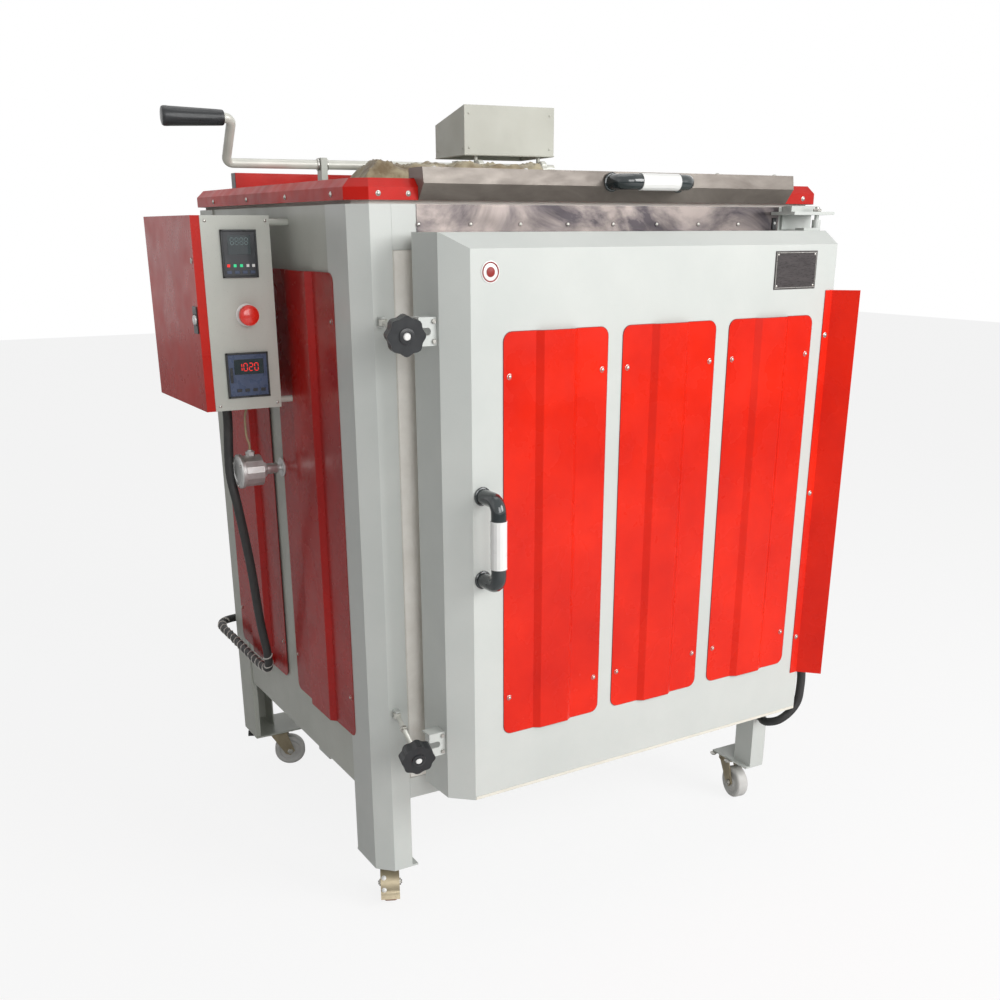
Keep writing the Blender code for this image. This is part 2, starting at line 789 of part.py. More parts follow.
def side_panel(name, y0, right):
    y1 = y0 + SIDE_PANEL_W
    face = BODY_W + GAP if right else -GAP
    out = 1 if right else -1
    press = raised(y0, SIDE_PANEL_W, SIDE_BAND_IN, SIDE_BAND_SLOPE, SIDE_BAND_H)
    path = [(face + out * rise, y) for y, rise in press]
    panel = part(name, "red", prism(folded(path, -out * PANEL_T), "Z", SIDE_PANEL_Z0,
                                    SIDE_PANEL_Z1))
    reach = SIDE_BAND_H + PANEL_T + OVER
    span = sorted((face - out * OVER, face + out * reach))
    crop(panel, prism(rounded(y0, y1, SIDE_PANEL_Z0, SIDE_PANEL_Z1, PANEL_R), "X", *span))
    heads = []
    for y in (y0 + SCREW_IN, y1 - SCREW_IN):
        for z in (SIDE_PANEL_Z0 + SIDE_SCREW_DOWN, SIDE_PANEL_Z1 - SIDE_SCREW_DOWN):
            heads.append(rod((face + out * PANEL_T / 2, y, z),
                             (face + out * (PANEL_T + SCREW_H), y, z), SCREW_R,
                             steps=STEPS // 2))
    weld(panel, joined(heads))
    return panel


left_panels = [side_panel(f"side_panel_left_{n}", y, False)
               for n, y in zip(("front", "rear"), SIDE_PANEL_Y)]
for n, y in zip(("front", "rear"), SIDE_PANEL_Y):
    side_panel(f"side_panel_right_{n}", y, True)

# Control cabinet: a case open to the left, on four posts
case = part("cabinet_case", "grey", block(CAB_X0, CAB_X1, CAB_Y0, CAB_Y1, CAB_Z0, CAB_Z1))
cut(case,
    block(CAB_X0 + CAB_SHEET, CAB_X1 - CAB_SHEET, CAB_Y0 + CAB_SHEET, CAB_Y1 - CAB_SHEET,
          CAB_Z0 + CAB_SHEET, CAB_Z1 - CAB_SHEET),
    block(CAB_X0 - OVER, CAB_X0 + CAB_SHEET + OVER, CAB_Y0 + CAB_LIP, CAB_Y1 - CAB_LIP,
          CAB_Z0 + CAB_LIP, CAB_Z1 - CAB_LIP))
holes = []
for x0, x1, z0, z1 in (CONTROLLER_UPPER, CONTROLLER_LOWER):
    rim = CONTROLLER_RIM - GAP
    holes.append(block(x0 + rim, x1 - rim, CAB_Y0 - OVER, CAB_Y0 + CAB_SHEET + OVER, z0 + rim,
                       z1 - rim))
cab_posts = []
for y in (CAB_Y0 + CAB_POST_Y, CAB_Y1 - CAB_POST_Y):
    for z in (CAB_Z0 + CAB_POST_Z, CAB_Z1 - CAB_POST_Z):
        cab_posts.append(rod((CAB_X1 - CAB_SHEET / 2, y, z), (LEG_SHEET, y, z), CAB_POST_R))
weld(case, joined(cab_posts),
     rod((BUTTON_X, CAB_Y0 + CAB_SHEET / 2, BUTTON_Z), (BUTTON_X, CAB_Y0 - COLLAR_H, BUTTON_Z),
         COLLAR_R),
     rod((CONDUIT_X, CONDUIT_Y, CAB_Z0 + CAB_SHEET / 2),
         (CONDUIT_X, CONDUIT_Y, CAB_Z0 - GLAND_H), GLAND_R),
     rod(((TC_HEAD_X0 + TC_HEAD_X1) / 2, TC_Y, CAB_Z0 + CAB_SHEET / 2),
         ((TC_HEAD_X0 + TC_HEAD_X1) / 2, TC_Y, CAB_Z0 - LEAD_BOSS_H), LEAD_BOSS_R))
cut(case, joined(holes),
    rod((BUTTON_X, CAB_Y0 - COLLAR_H - OVER, BUTTON_Z),
        (BUTTON_X, CAB_Y0 + CAB_SHEET + OVER, BUTTON_Z), STEM_R + RUN))
clear = [rod((-SIDE_BAND_H - OVER, CAB_Y0 + CAB_POST_Y, CAB_Z0 + CAB_POST_Z),
             (OVER, CAB_Y0 + CAB_POST_Y, CAB_Z0 + CAB_POST_Z), CAB_POST_R + RUN),
         rod((-SIDE_BAND_H - OVER, CAB_Y1 - CAB_POST_Y, CAB_Z0 + CAB_POST_Z),
             (OVER, CAB_Y1 - CAB_POST_Y, CAB_Z0 + CAB_POST_Z), CAB_POST_R + RUN)]
for panel, hole in zip(left_panels, clear):
    cut(panel, hole)

CAB_AXIS_X = CAB_X0 - CAB_AXIS_OUT - GAP
CAB_AXIS_Y = CAB_Y1 + CAB_AXIS_OUT
CAB_HINGES = (CAB_Z0 + CAB_KNUCKLE_IN, CAB_Z1 - CAB_KNUCKLE_IN)
for z in CAB_HINGES:
    weld(case,
         block(CAB_AXIS_X, CAB_X0 + CAB_LEAF, CAB_Y1 + GAP, CAB_Y1 + CAB_AXIS_OUT, z - CAB_KNUCKLE_H,
               z),
         block(CAB_X0 + CAB_SHEET, CAB_X0 + CAB_LEAF, CAB_Y1 - CAB_SHEET / 2, CAB_Y1 + CAB_AXIS_OUT,
               z - CAB_KNUCKLE_H, z),
         rod((CAB_AXIS_X, CAB_AXIS_Y, z - CAB_KNUCKLE_H), (CAB_AXIS_X, CAB_AXIS_Y, z),
             CAB_KNUCKLE_R, steps=STEPS // 2))

# Switchgear: a plate with two rails of modules on the cabinet's inner wall
plate_x = CAB_X1 - CAB_SHEET - GAP
gear = part("cabinet_switchgear", "white",
            block(plate_x - BACKPLATE_T, plate_x, CAB_Y0 + BACKPLATE_IN, CAB_Y1 - BACKPLATE_IN,
                  CAB_Z0 + BACKPLATE_IN, CAB_Z1 - BACKPLATE_IN))
rail_x = plate_x - BACKPLATE_T / 2
modules = []
rails = []
for z in GEAR_ROWS:
    rails.append(block(rail_x - RAIL_T, rail_x, GEAR_Y - GEAR_PITCH / 2,
                       GEAR_Y + GEAR_PITCH * GEAR_COUNT, z - RAIL_H / 2, z + RAIL_H / 2))
    for k in range(GEAR_COUNT):
        y = GEAR_Y + k * GEAR_PITCH
        modules.append(block(rail_x - RAIL_T / 2 - GEAR_D, rail_x - RAIL_T / 2, y, y + GEAR_W,
                             z - GEAR_H / 2, z + GEAR_H / 2))
weld(gear, joined(rails), joined(modules))


# Temperature controllers in the cabinet's front
def controller(name, size):
    x0, x1, z0, z1 = size
    rim = CONTROLLER_RIM
    unit = part(name, "black", block(x0, x1, CAB_Y0 - GAP - CONTROLLER_OUT, CAB_Y0 - GAP, z0, z1))
    weld(unit, block(x0 + rim, x1 - rim, CAB_Y0 - GAP - CONTROLLER_OUT / 2,
                     CAB_Y0 + CONTROLLER_D, z0 + rim, z1 - rim))


controller("controller_upper", CONTROLLER_UPPER)
controller("controller_lower", CONTROLLER_LOWER)

# Thermocouple through the left wall, its lead and the conduit
head_x = (TC_HEAD_X0 + TC_HEAD_X1) / 2
couple = part("thermocouple", "cast", rod((TC_HEAD_X0, TC_Y, TC_Z), (TC_HEAD_X1, TC_Y, TC_Z),
                                          TC_HEAD_R), smooth=True)
weld(couple, rod((TC_HEAD_X1 - OVER, TC_Y, TC_Z), (TC_TIP, TC_Y, TC_Z), SHEATH_R),
     rod((head_x, TC_Y, TC_Z + TC_HEAD_R - OVER), (head_x, TC_Y, TC_Z + TC_HEAD_R + TC_BOSS_H),
         TC_BOSS_R))
lead_low = TC_Z + TC_HEAD_R + TC_BOSS_H + GAP
lead_high = CAB_Z0 - LEAD_BOSS_H - GAP
lead_knots = [(head_x, TC_Y, lead_low), (head_x, TC_Y, lead_low + 0.012),
              (head_x - 0.006, TC_Y - 0.004, 0.930), (head_x - 0.004, TC_Y + 0.002, 0.965),
              (head_x, TC_Y, lead_high - 0.010), (head_x, TC_Y, lead_high)]
part("thermocouple_lead", "lead", tube(eased(lead_knots, 3), LEAD_R), smooth=True)

conduit_knots = [(CONDUIT_X, CONDUIT_Y, CAB_Z0 - GLAND_H - GAP), (CONDUIT_X, CONDUIT_Y, 0.950),
                 (-0.104, 0.4535, 0.890), (-0.104, 0.453, 0.840), (-0.094, 0.450, 0.770),
                 (-0.070, 0.476, 0.640), (-0.050, 0.5046, 0.505), (-0.036, 0.513, 0.420),
                 (-0.030, 0.535, 0.378), (-0.030, 0.600, 0.368), (-0.030, 0.700, 0.370),
                 (-0.030, 0.800, 0.373), (-0.029, 0.885, 0.375), (-0.010, 0.922, 0.376),
                 (0.040, 0.932, 0.377), (0.085, 0.928, 0.377), (0.106, 0.908, 0.377),
                 (0.108, BODY_D - CASING_IN + GAP, 0.377)]
part("conduit_left", "rubber", tube(eased(conduit_knots, 3), CONDUIT_R), smooth=True)

# Front door, modelled shut and then turned to its rest pose
door_hinge = joint("door_hinge", (HINGE_X, HINGE_Y, DOOR_Z0), (0, 0, DOOR_REST))


def door_plan(t, front, back, side_w, side_d):
    return [(DOOR_X0 + t, back), (DOOR_X0 + t, front + side_d), (DOOR_X0 + t + side_w, front),
            (DOOR_X1 - t, front), (DOOR_X1 - t, back)]


def door_block(t, back):
    """The door's outer form drawn in by t, with its left side and top cut back."""
    front = DOOR_FRONT + t
    top_front = DOOR_FRONT + TOP_BEVEL_D + t
    side = SIDE_BEVEL_D - TOP_BEVEL_D
    top_side = SIDE_BEVEL_W * side / SIDE_BEVEL_D
    full = door_plan(t, front, back, SIDE_BEVEL_W, SIDE_BEVEL_D)
    cap = door_plan(t, top_front, back, top_side, side)
    return hull(ring(full, DOOR_Z0 + t) + ring(full, DOOR_Z1 - TOP_BEVEL_H - t / 2)
                + ring(cap, DOOR_Z1 - t))


shell = part("door_shell", "grey", door_block(0.0, DOOR_BACK))
cut(shell, door_block(DOOR_SHEET, DOOR_BACK + OVER))
for side, z in ((1, DOOR_Z1), (-1, DOOR_Z0)):
    low, high = sorted((z - side * DOOR_SHEET / 2, z + side * LUG_T))
    barrel = sorted((z - side * DOOR_SHEET / 2, z + side * KNUCKLE_H))
    eye = [(HINGE_X, HINGE_Y, barrel[0] + DOOR_SHEET), (HINGE_X, HINGE_Y, barrel[1])]
    bore = [(HINGE_X, HINGE_Y, barrel[0] - OVER), (HINGE_X, HINGE_Y, barrel[1] + OVER)]
    weld(shell, block(HINGE_X - LUG_L, HINGE_X, HINGE_Y - LUG_W / 2, HINGE_Y + LUG_W / 2, low,
                      high), rod(*eye, KNUCKLE_R))
    cut(shell, rod(*bore, PIN_R + RUN))


def catch(level):
    """Slotted bracket on the door's left side that takes a swing bolt."""
    reach = -BOLT_OUT - CATCH_Y
    z = BOLT_Z[level] - (reach + math.sin(math.radians(DOOR_REST)) * HINGE_X) * math.tan(
        math.radians(BOLT_DROOP[level]))
    hold = DOOR_X0 - GAP
    low, high = z - CATCH_H / 2, z + CATCH_H / 2
    bracket = part("catch_" + level, "grey",
                   block(CATCH_X0, hold, CATCH_Y, CATCH_Y + CATCH_T, low, high))
    weld(bracket, block(CATCH_X0, hold, CATCH_Y + CATCH_T / 2, CATCH_Y + CATCH_FLANGE,
                        high - CATCH_T, high))
    slot = rounded(CATCH_X0 - CATCH_SLOT_H, CATCH_SLOT_END, z - CATCH_SLOT_H / 2,
                   z + CATCH_SLOT_H / 2, CATCH_SLOT_H / 2 - GAP)
    cut(bracket, prism(slot, "Y", CATCH_Y - OVER, CATCH_Y + CATCH_T + OVER))
    return bracket


catches = [catch("upper"), catch("lower")]
inside = part("door_insulation", "fibre", door_block(DOOR_SHEET + GAP, DOOR_BACK - GAP))
seat = [(CHAMBER_X0 + PLUG_GAP, FLOOR_Z + PLUG_GAP), (CHAMBER_X1 - PLUG_GAP, FLOOR_Z + PLUG_GAP),
        (CHAMBER_X1 - PLUG_GAP, LINTEL_Z - PLUG_GAP), (CHAMBER_X0 + PLUG_GAP, LINTEL_Z - PLUG_GAP)]
middle_x = (CHAMBER_X0 + CHAMBER_X1) / 2
middle_z = (FLOOR_Z + LINTEL_Z) / 2
nose = [(x - math.copysign(PLUG_TAPER, x - middle_x), z - math.copysign(PLUG_TAPER, z - middle_z))
        for x, z in seat]
weld(inside, hull([(x, DOOR_BACK - OVER, z) for x, z in seat]
                  + [(x, PLUG_DEPTH, z) for x, z in nose]))

DOOR_FACE_X = DOOR_X0 + SIDE_BEVEL_W
door_pieces = [shell, inside, *catches]
for k in range(DOOR_PANELS):
    x0 = DOOR_FACE_X + DOOR_PANEL_X + k * DOOR_PANEL_PITCH
    x1 = x0 + DOOR_PANEL_W
    face = DOOR_FRONT - GAP
    press = raised(x0, DOOR_PANEL_W, DOOR_BAND_IN, DOOR_BAND_SLOPE, DOOR_BAND_H)
    path = [(x, face - rise) for x, rise in press]
    panel = part(f"door_panel_{k + 1}", "red", prism(folded(path, -PANEL_T), "Z", DOOR_PANEL_Z0,
                                                     DOOR_PANEL_Z1))
    crop(panel, prism(rounded(x0, x1, DOOR_PANEL_Z0, DOOR_PANEL_Z1, PANEL_R), "Y",
                      face - DOOR_BAND_H - PANEL_T - OVER, face + OVER))
    heads = []
    for x in (x0 + SCREW_IN, x1 - SCREW_IN):
        for z in (DOOR_PANEL_Z0 + DOOR_SCREW_DOWN, DOOR_PANEL_Z1 - DOOR_SCREW_DOWN):
            heads.append(rod((x, face - PANEL_T / 2, z), (x, face - PANEL_T - SCREW_H, z),
                             SCREW_R, steps=STEPS // 2))
    weld(panel, joined(heads))
    door_pieces.append(panel)

wing_x = DOOR_FACE_X + WING_X
wing_y = DOOR_FRONT - GAP
lean = math.radians(WING_ANGLE)
fold = [(wing_x, wing_y), (wing_x + WING_STRIP, wing_y),
        (wing_x + WING_STRIP + WING_L * math.cos(lean), wing_y - WING_L * math.sin(lean))]
door_pieces.append(part("door_wing", "red", prism(folded(fold, -WING_T), "Z", WING_Z0, WING_Z1)))


# Pull handles: a bent black bar with a white sleeve, standing off towards -Y
def handle(name, at, along, out):
    at = Vector(at)
    along = Vector(along)
    forward = Vector((0, -out, 0))
    ends = [at - along * (HANDLE_SPAN / 2), at + along * (HANDLE_SPAN / 2)]
    route = [ends[0], ends[0] + forward, ends[1] + forward, ends[1]]
    bar = part(name, "black", tube(bent(route, HANDLE_BEND, 5), HANDLE_R, 4), smooth=True)
    half = along * (SLEEVE_L / 2)
    middle = at + forward
    sleeve = part(name + "_sleeve", "white", rod(middle - half, middle + half, SLEEVE_R),
                  smooth=True)
    cut(sleeve, rod(middle - half * SLEEVE_BORE_SHARE, middle + half * SLEEVE_BORE_SHARE,
                    HANDLE_R + GAP))
    return bar, sleeve


door_pieces += handle("door_handle", (DOOR_FACE_X + DOOR_HANDLE_X, DOOR_FRONT - GAP, DOOR_HANDLE_Z),
                      (0, 0, 1), DOOR_HANDLE_OUT)
hang(door_hinge, *door_pieces)

# Cable from the door's hinge side down to the body's foot, in the door's rest pose
loop_knots = [(0.9676, -0.100, 0.425), (0.972, -0.100, 0.425), (0.979, -0.100, 0.425),
              (0.999, -0.101, 0.410),
              (1.010, -0.101, 0.375), (1.012, -0.100, 0.335), (1.009, -0.098, 0.303),
              (0.994, -0.092, 0.277), (0.976, -0.078, 0.256), (0.968, -0.052, 0.243),
              (0.975, -0.028, 0.237), (0.984, -0.014, 0.236), (0.985, -0.007, 0.236),
              (0.985, -2 * GAP, 0.236)]
part("door_cable", "rubber", tube(eased(loop_knots, 3), LOOP_R), smooth=True)


# Swing bolts and star knobs
def swing_bolt(level):
    z = BOLT_Z[level]
    droop = math.radians(BOLT_DROOP[level])
    at = (BOLT_X, -BOLT_OUT, z)
    way = Vector((0, -math.cos(droop), -math.sin(droop)))
    swing = joint(f"bolt_{level}_swing", at, (0, 0, BOLT_SWING))
    bolt = part(f"bolt_{level}", "zinc", rod((BOLT_X, -BOLT_OUT, z - EYE_H / 2),
                                             (BOLT_X, -BOLT_OUT, z + EYE_H / 2), EYE_R),
                smooth=True)
    weld(bolt, rod(Vector(at) + way * (BOLT_PIN_R + RUN), Vector(at) + way * BOLT_L, BOLT_R))
    cut(bolt, rod((BOLT_X, -BOLT_OUT, z - EYE_H), (BOLT_X, -BOLT_OUT, z + EYE_H),
                  BOLT_PIN_R + RUN))
    hang(swing, bolt)

    spin = joint(f"knob_{level}_spin", at, (BOLT_DROOP[level], 0, 0), parent=swing)
    star = []
    for k in range(KNOB_POINTS):
        angle = math.tau * k / KNOB_POINTS
        radius = KNOB_R - KNOB_LOBE * (1 - math.cos(KNOB_LOBES * angle)) / 2
        star.append((BOLT_X + radius * math.cos(angle), z + radius * math.sin(angle)))
    back = -BOLT_OUT - KNOB_AT
    knob = part(f"knob_{level}", "black", prism(star, "Y", back - KNOB_L, back), smooth=True)
    weld(knob, rod((BOLT_X, back - OVER, z), (BOLT_X, back + NECK_L, z), NECK_R))
    cut(knob, rod((BOLT_X, back + NECK_L + OVER, z), (BOLT_X, -BOLT_OUT - BOLT_L - OVER, z),
                  BOLT_R + RUN))
    hang(spin, knob)


swing_bolt("upper")
swing_bolt("lower")

# Cabinet door, its lock and the push button
cab_hinge = joint("cabinet_hinge", (CAB_AXIS_X, CAB_AXIS_Y, CAB_Z0))
leaf_x1 = CAB_X0 - GAP
leaf_x0 = leaf_x1 - CAB_DOOR_T
leaf = part("cabinet_door", "red", block(leaf_x0, leaf_x1, CAB_Y0, CAB_Y1, CAB_Z0, CAB_Z1))
cut(leaf, block(leaf_x0 + CAB_SHEET, leaf_x1 + OVER, CAB_Y0 + CAB_SHEET, CAB_Y1 - CAB_SHEET,
                CAB_Z0 + CAB_SHEET, CAB_Z1 - CAB_SHEET))
lock_y = CAB_Y0 + LOCK_Y
for z in CAB_HINGES:
    low, high = z + GAP, z + GAP + CAB_KNUCKLE_H
    weld(leaf, block(CAB_AXIS_X - CAB_KNUCKLE_R, CAB_AXIS_X, CAB_Y1 - CAB_SHEET / 2, CAB_AXIS_Y, low,
                     high),
         rod((CAB_AXIS_X, CAB_AXIS_Y, low), (CAB_AXIS_X, CAB_AXIS_Y, high), CAB_KNUCKLE_R,
             steps=STEPS // 2))
cut(leaf, rod((leaf_x0 - OVER, lock_y, LOCK_Z), (leaf_x0 + CAB_SHEET + OVER, lock_y, LOCK_Z),
              LOCK_R + RUN))
hang(cab_hinge, leaf)

lock_turn = joint("lock_turn", (leaf_x0, lock_y, LOCK_Z), parent=cab_hinge)
cam_x = CAB_X0 + CAB_SHEET + RUN
lock = part("cabinet_lock", "cast", rod((leaf_x0 - LOCK_OUT, lock_y, LOCK_Z),
                                        (cam_x + LOCK_CAM_T / 2, lock_y, LOCK_Z), LOCK_R),
            smooth=True)
weld(lock, block(cam_x, cam_x + LOCK_CAM_T, lock_y - LOCK_CAM_W / 2, lock_y + LOCK_CAM_W / 2,
                 LOCK_Z - LOCK_R, LOCK_Z + LOCK_CAM_L),
     rod((leaf_x0 - LOCK_OUT / 2, lock_y, LOCK_Z), (leaf_x0 - GAP, lock_y, LOCK_Z),
         LOCK_COLLAR_R))
hang(lock_turn, lock)

press = joint("button_press", (BUTTON_X, CAB_Y0, BUTTON_Z))
button_back = CAB_Y0 - COLLAR_H - BUTTON_TRAVEL - RUN
button = part("push_button", "button", rod((BUTTON_X, button_back, BUTTON_Z),
                                           (BUTTON_X, button_back - BUTTON_H, BUTTON_Z),
                                           BUTTON_R), smooth=True)
weld(button, rod((BUTTON_X, button_back - OVER, BUTTON_Z), (BUTTON_X, button_back + STEM_L, BUTTON_Z),
                 STEM_R))
hang(press, button)

# Lid: a red frame, its sheet and insulation, on the rear hinge
lid_hinge = joint("lid_hinge", (LID_HINGE_IN, LID_AXIS_Y, LID_AXIS_Z))
LID_SHOULDER = LID_Z0 + LID_SIDE_H
LID_TOP = LID_SHOULDER + LID_BEVEL
miter = LID_SHEET * math.tan(math.pi / 8)
frame = part("lid_frame", "red", hull(ring(plan(-LID_OVER), LID_Z0)
                                      + ring(plan(-LID_OVER), LID_SHOULDER)
                                      + ring(plan(LID_BEVEL - LID_OVER), LID_TOP)))
window = LID_BEVEL - LID_OVER + LID_FLANGE
cut(frame, hull(ring(plan(LID_SHEET - LID_OVER), LID_Z0 - OVER)
                + ring(plan(LID_SHEET - LID_OVER), LID_SHOULDER - miter)
                + ring(plan(LID_BEVEL - LID_OVER + miter), LID_TOP - LID_SHEET)),
    block(window, BODY_W - window, window, BODY_D - window, LID_TOP - LID_SHEET - OVER,
          LID_TOP + OVER))
weld(frame, block(BAR_X0, BAR_X1, BAR_Y, BAR_Y + BAR_D, LID_TOP - LID_SHEET / 2, BAR_Z1))
for x in (LID_HINGE_IN, BODY_W - LID_HINGE_IN):
    low, high = x - LID_KNUCKLE_W / 2, x + LID_KNUCKLE_W / 2
    weld(frame, block(low, high, BODY_D + LID_OVER - LID_SHEET / 2, LID_AXIS_Y, LID_AXIS_Z + OVER,
                      LID_SHOULDER - OVER),
         rod((low, LID_AXIS_Y, LID_AXIS_Z), (high, LID_AXIS_Y, LID_AXIS_Z), LID_KNUCKLE_R))
    cut(frame, rod((low - OVER, LID_AXIS_Y, LID_AXIS_Z), (high + OVER, LID_AXIS_Y, LID_AXIS_Z),
                   LID_PIN_R + RUN))

SHEET_TOP = LID_TOP - LID_SHEET - GAP
sheet = part("lid_sheet", "grey", prism(plan(LID_PAD_IN), "Z", SHEET_TOP - LID_SHEET, SHEET_TOP))
pad = part("lid_insulation", "fibre", prism(plan(LID_PAD_IN), "Z", BODY_TOP + GAP,
                                            SHEET_TOP - LID_SHEET - GAP))
weld(pad, block(CHAMBER_X0 + LID_PLUG_GAP, CHAMBER_X1 - LID_PLUG_GAP, LINTEL_D + LID_PLUG_GAP,
                CHAMBER_Y1 - LID_PLUG_GAP, LID_PLUG_Z, BODY_TOP + OVER))

foot_y = -(LID_OVER + GAP + TRIM_T)
profile = [(foot_y, LID_Z0), (TRIM_RIDGE_Y, TRIM_RIDGE_Z), (TRIM_TOP_Y, TRIM_TOP_Z),
           (TRIM_BACK_Y, TRIM_TOP_Z), (TRIM_BACK_Y, LID_TOP + GAP)]
trim = part("lid_trim", "stainless", prism(folded(profile, -TRIM_T), "X", TRIM_X0, TRIM_X1))
lid_pull = handle("lid_handle", (LID_HANDLE_X, TRIM_RIDGE_Y - GAP, LID_HANDLE_Z), (1, 0, 0),
                  LID_HANDLE_OUT)
hang(lid_hinge, frame, sheet, pad, trim, *lid_pull)

# Vent, crank and cap, modelled square to the body and turned about the crank's elbow
vent_turn = joint("vent_turn", (CRANK_X, CRANK_Y, CRANK_Z), (0, 0, CRANK_TURN), parent=lid_hinge)
bearings = []
for x in BEARING_AT:
    bearings.append(block(CRANK_X + x - BEARING_W / 2, CRANK_X + x + BEARING_W / 2,
                          CRANK_Y - BEARING_D / 2, CRANK_Y + BEARING_D / 2,
                          SHEET_TOP - LID_SHEET / 2, CRANK_Z + BEARING_UP))
weld(sheet, joined(bearings), carrier=vent_turn)
cut(sheet, rod((CRANK_X, CRANK_Y, CRANK_Z), (CRANK_X + CRANK_L, CRANK_Y, CRANK_Z),
               CRANK_R + RUN), carrier=vent_turn)
vent_x = CRANK_X + CAP_X + CAP_W / 2
vent_y = CRANK_Y + CAP_Y + CAP_D / 2
post_y = CRANK_Y + PINION_R + GAP + POST_R
post_xs = (CRANK_X + CAP_X + POST_IN, CRANK_X + CAP_X + CAP_W - POST_IN)
passage = block(vent_x - VENT_SIDE / 2, vent_x + VENT_SIDE / 2, vent_y - VENT_SIDE / 2,
                vent_y + VENT_SIDE / 2, LID_PLUG_Z - OVER, LID_TOP)
guides = [rod((x, post_y, POST_Z0 - OVER), (x, post_y, LID_TOP), POST_R + RUN) for x in post_xs]
cut(sheet, passage, joined(guides), carrier=vent_turn)
cut(pad, passage.copy(), joined(guides), carrier=vent_turn)


# A shut cap is a box with a sloping roof, open below
def cap_block(t, low):
    x0, x1 = CRANK_X + CAP_X + t, CRANK_X + CAP_X + CAP_W - t
    y0, y1 = CRANK_Y + CAP_Y + t, CRANK_Y + CAP_Y + CAP_D - t
    high = CAP_Z1 - t
    return hull([(x, y, z) for x in (x0, x1) for y, z in
                 ((y0, low), (y1, low), (y0, high), (y1, high - CAP_DROP))])


cap_lift = joint("vent_lift", (vent_x, vent_y, CAP_Z0), parent=vent_turn)
cap = part("vent_cap", "grey", cap_block(0.0, CAP_Z0))
cut(cap, cap_block(CAP_SHEET, CAP_Z0 - OVER))
roof_z = CAP_Z1 - CAP_DROP * (post_y - CRANK_Y - CAP_Y) / CAP_D - CAP_SHEET
weld(cap, joined([rod((x, post_y, POST_Z0), (x, post_y, roof_z + CAP_SHEET / 2), POST_R)
                  for x in post_xs]))
hang(cap_lift, cap)

crank_turn = joint("crank_turn", (CRANK_X, CRANK_Y, CRANK_Z), parent=vent_turn)
rise = math.radians(CRANK_LEAN)
arm_y = CRANK_Y - CRANK_ARM * math.sin(rise)
arm_z = CRANK_Z + CRANK_ARM * math.cos(rise)
grip_end = CRANK_X - GRIP_IN - GRIP_L
bar = [(CRANK_X + CRANK_L, CRANK_Y, CRANK_Z), (CRANK_X, CRANK_Y, CRANK_Z), (CRANK_X, arm_y, arm_z),
       (grip_end + OVER, arm_y, arm_z)]
crank = part("crank", "zinc", tube(bent(bar, CRANK_BEND, 5), CRANK_R, 3), smooth=True)
weld(crank, joined([rod((x - PINION_W / 2, CRANK_Y, CRANK_Z), (x + PINION_W / 2, CRANK_Y, CRANK_Z),
                        PINION_R) for x in post_xs]))
hang(crank_turn, crank)
grip_spin = joint("grip_spin", (CRANK_X, arm_y, arm_z), parent=crank_turn)
grip = part("crank_grip", "black", rod((CRANK_X - CRANK_BEND - GRIP_IN / 2, arm_y, arm_z),
                                       (grip_end, arm_y, arm_z), GRIP_R0, GRIP_R1), smooth=True)
cut(grip, rod((CRANK_X, arm_y, arm_z), (grip_end + OVER / 2, arm_y, arm_z), CRANK_R + RUN))
hang(grip_spin, grip)

# Fibre blanket beside the vent, with an uneven top
mean_share, wave_share, ripple_share = PAD_LUMP_SHARES
wave, ripple = PAD_LUMP_WAVES
top = [(CRANK_X + PAD_X1 - (PAD_X1 - PAD_X0) * k / PAD_LUMPS,
        SHEET_TOP + PAD_H * (mean_share + wave_share * math.sin(wave * k)
                             + ripple_share * math.cos(ripple * k)))
       for k in range(PAD_LUMPS + 1)]
outline = [(CRANK_X + PAD_X0, SHEET_TOP + GAP), (CRANK_X + PAD_X1, SHEET_TOP + GAP), *top]
blanket = part("fibre_blanket", "wool", prism(outline, "Y", CRANK_Y + PAD_Y0, CRANK_Y + PAD_Y1))
hang(vent_turn, blanket)


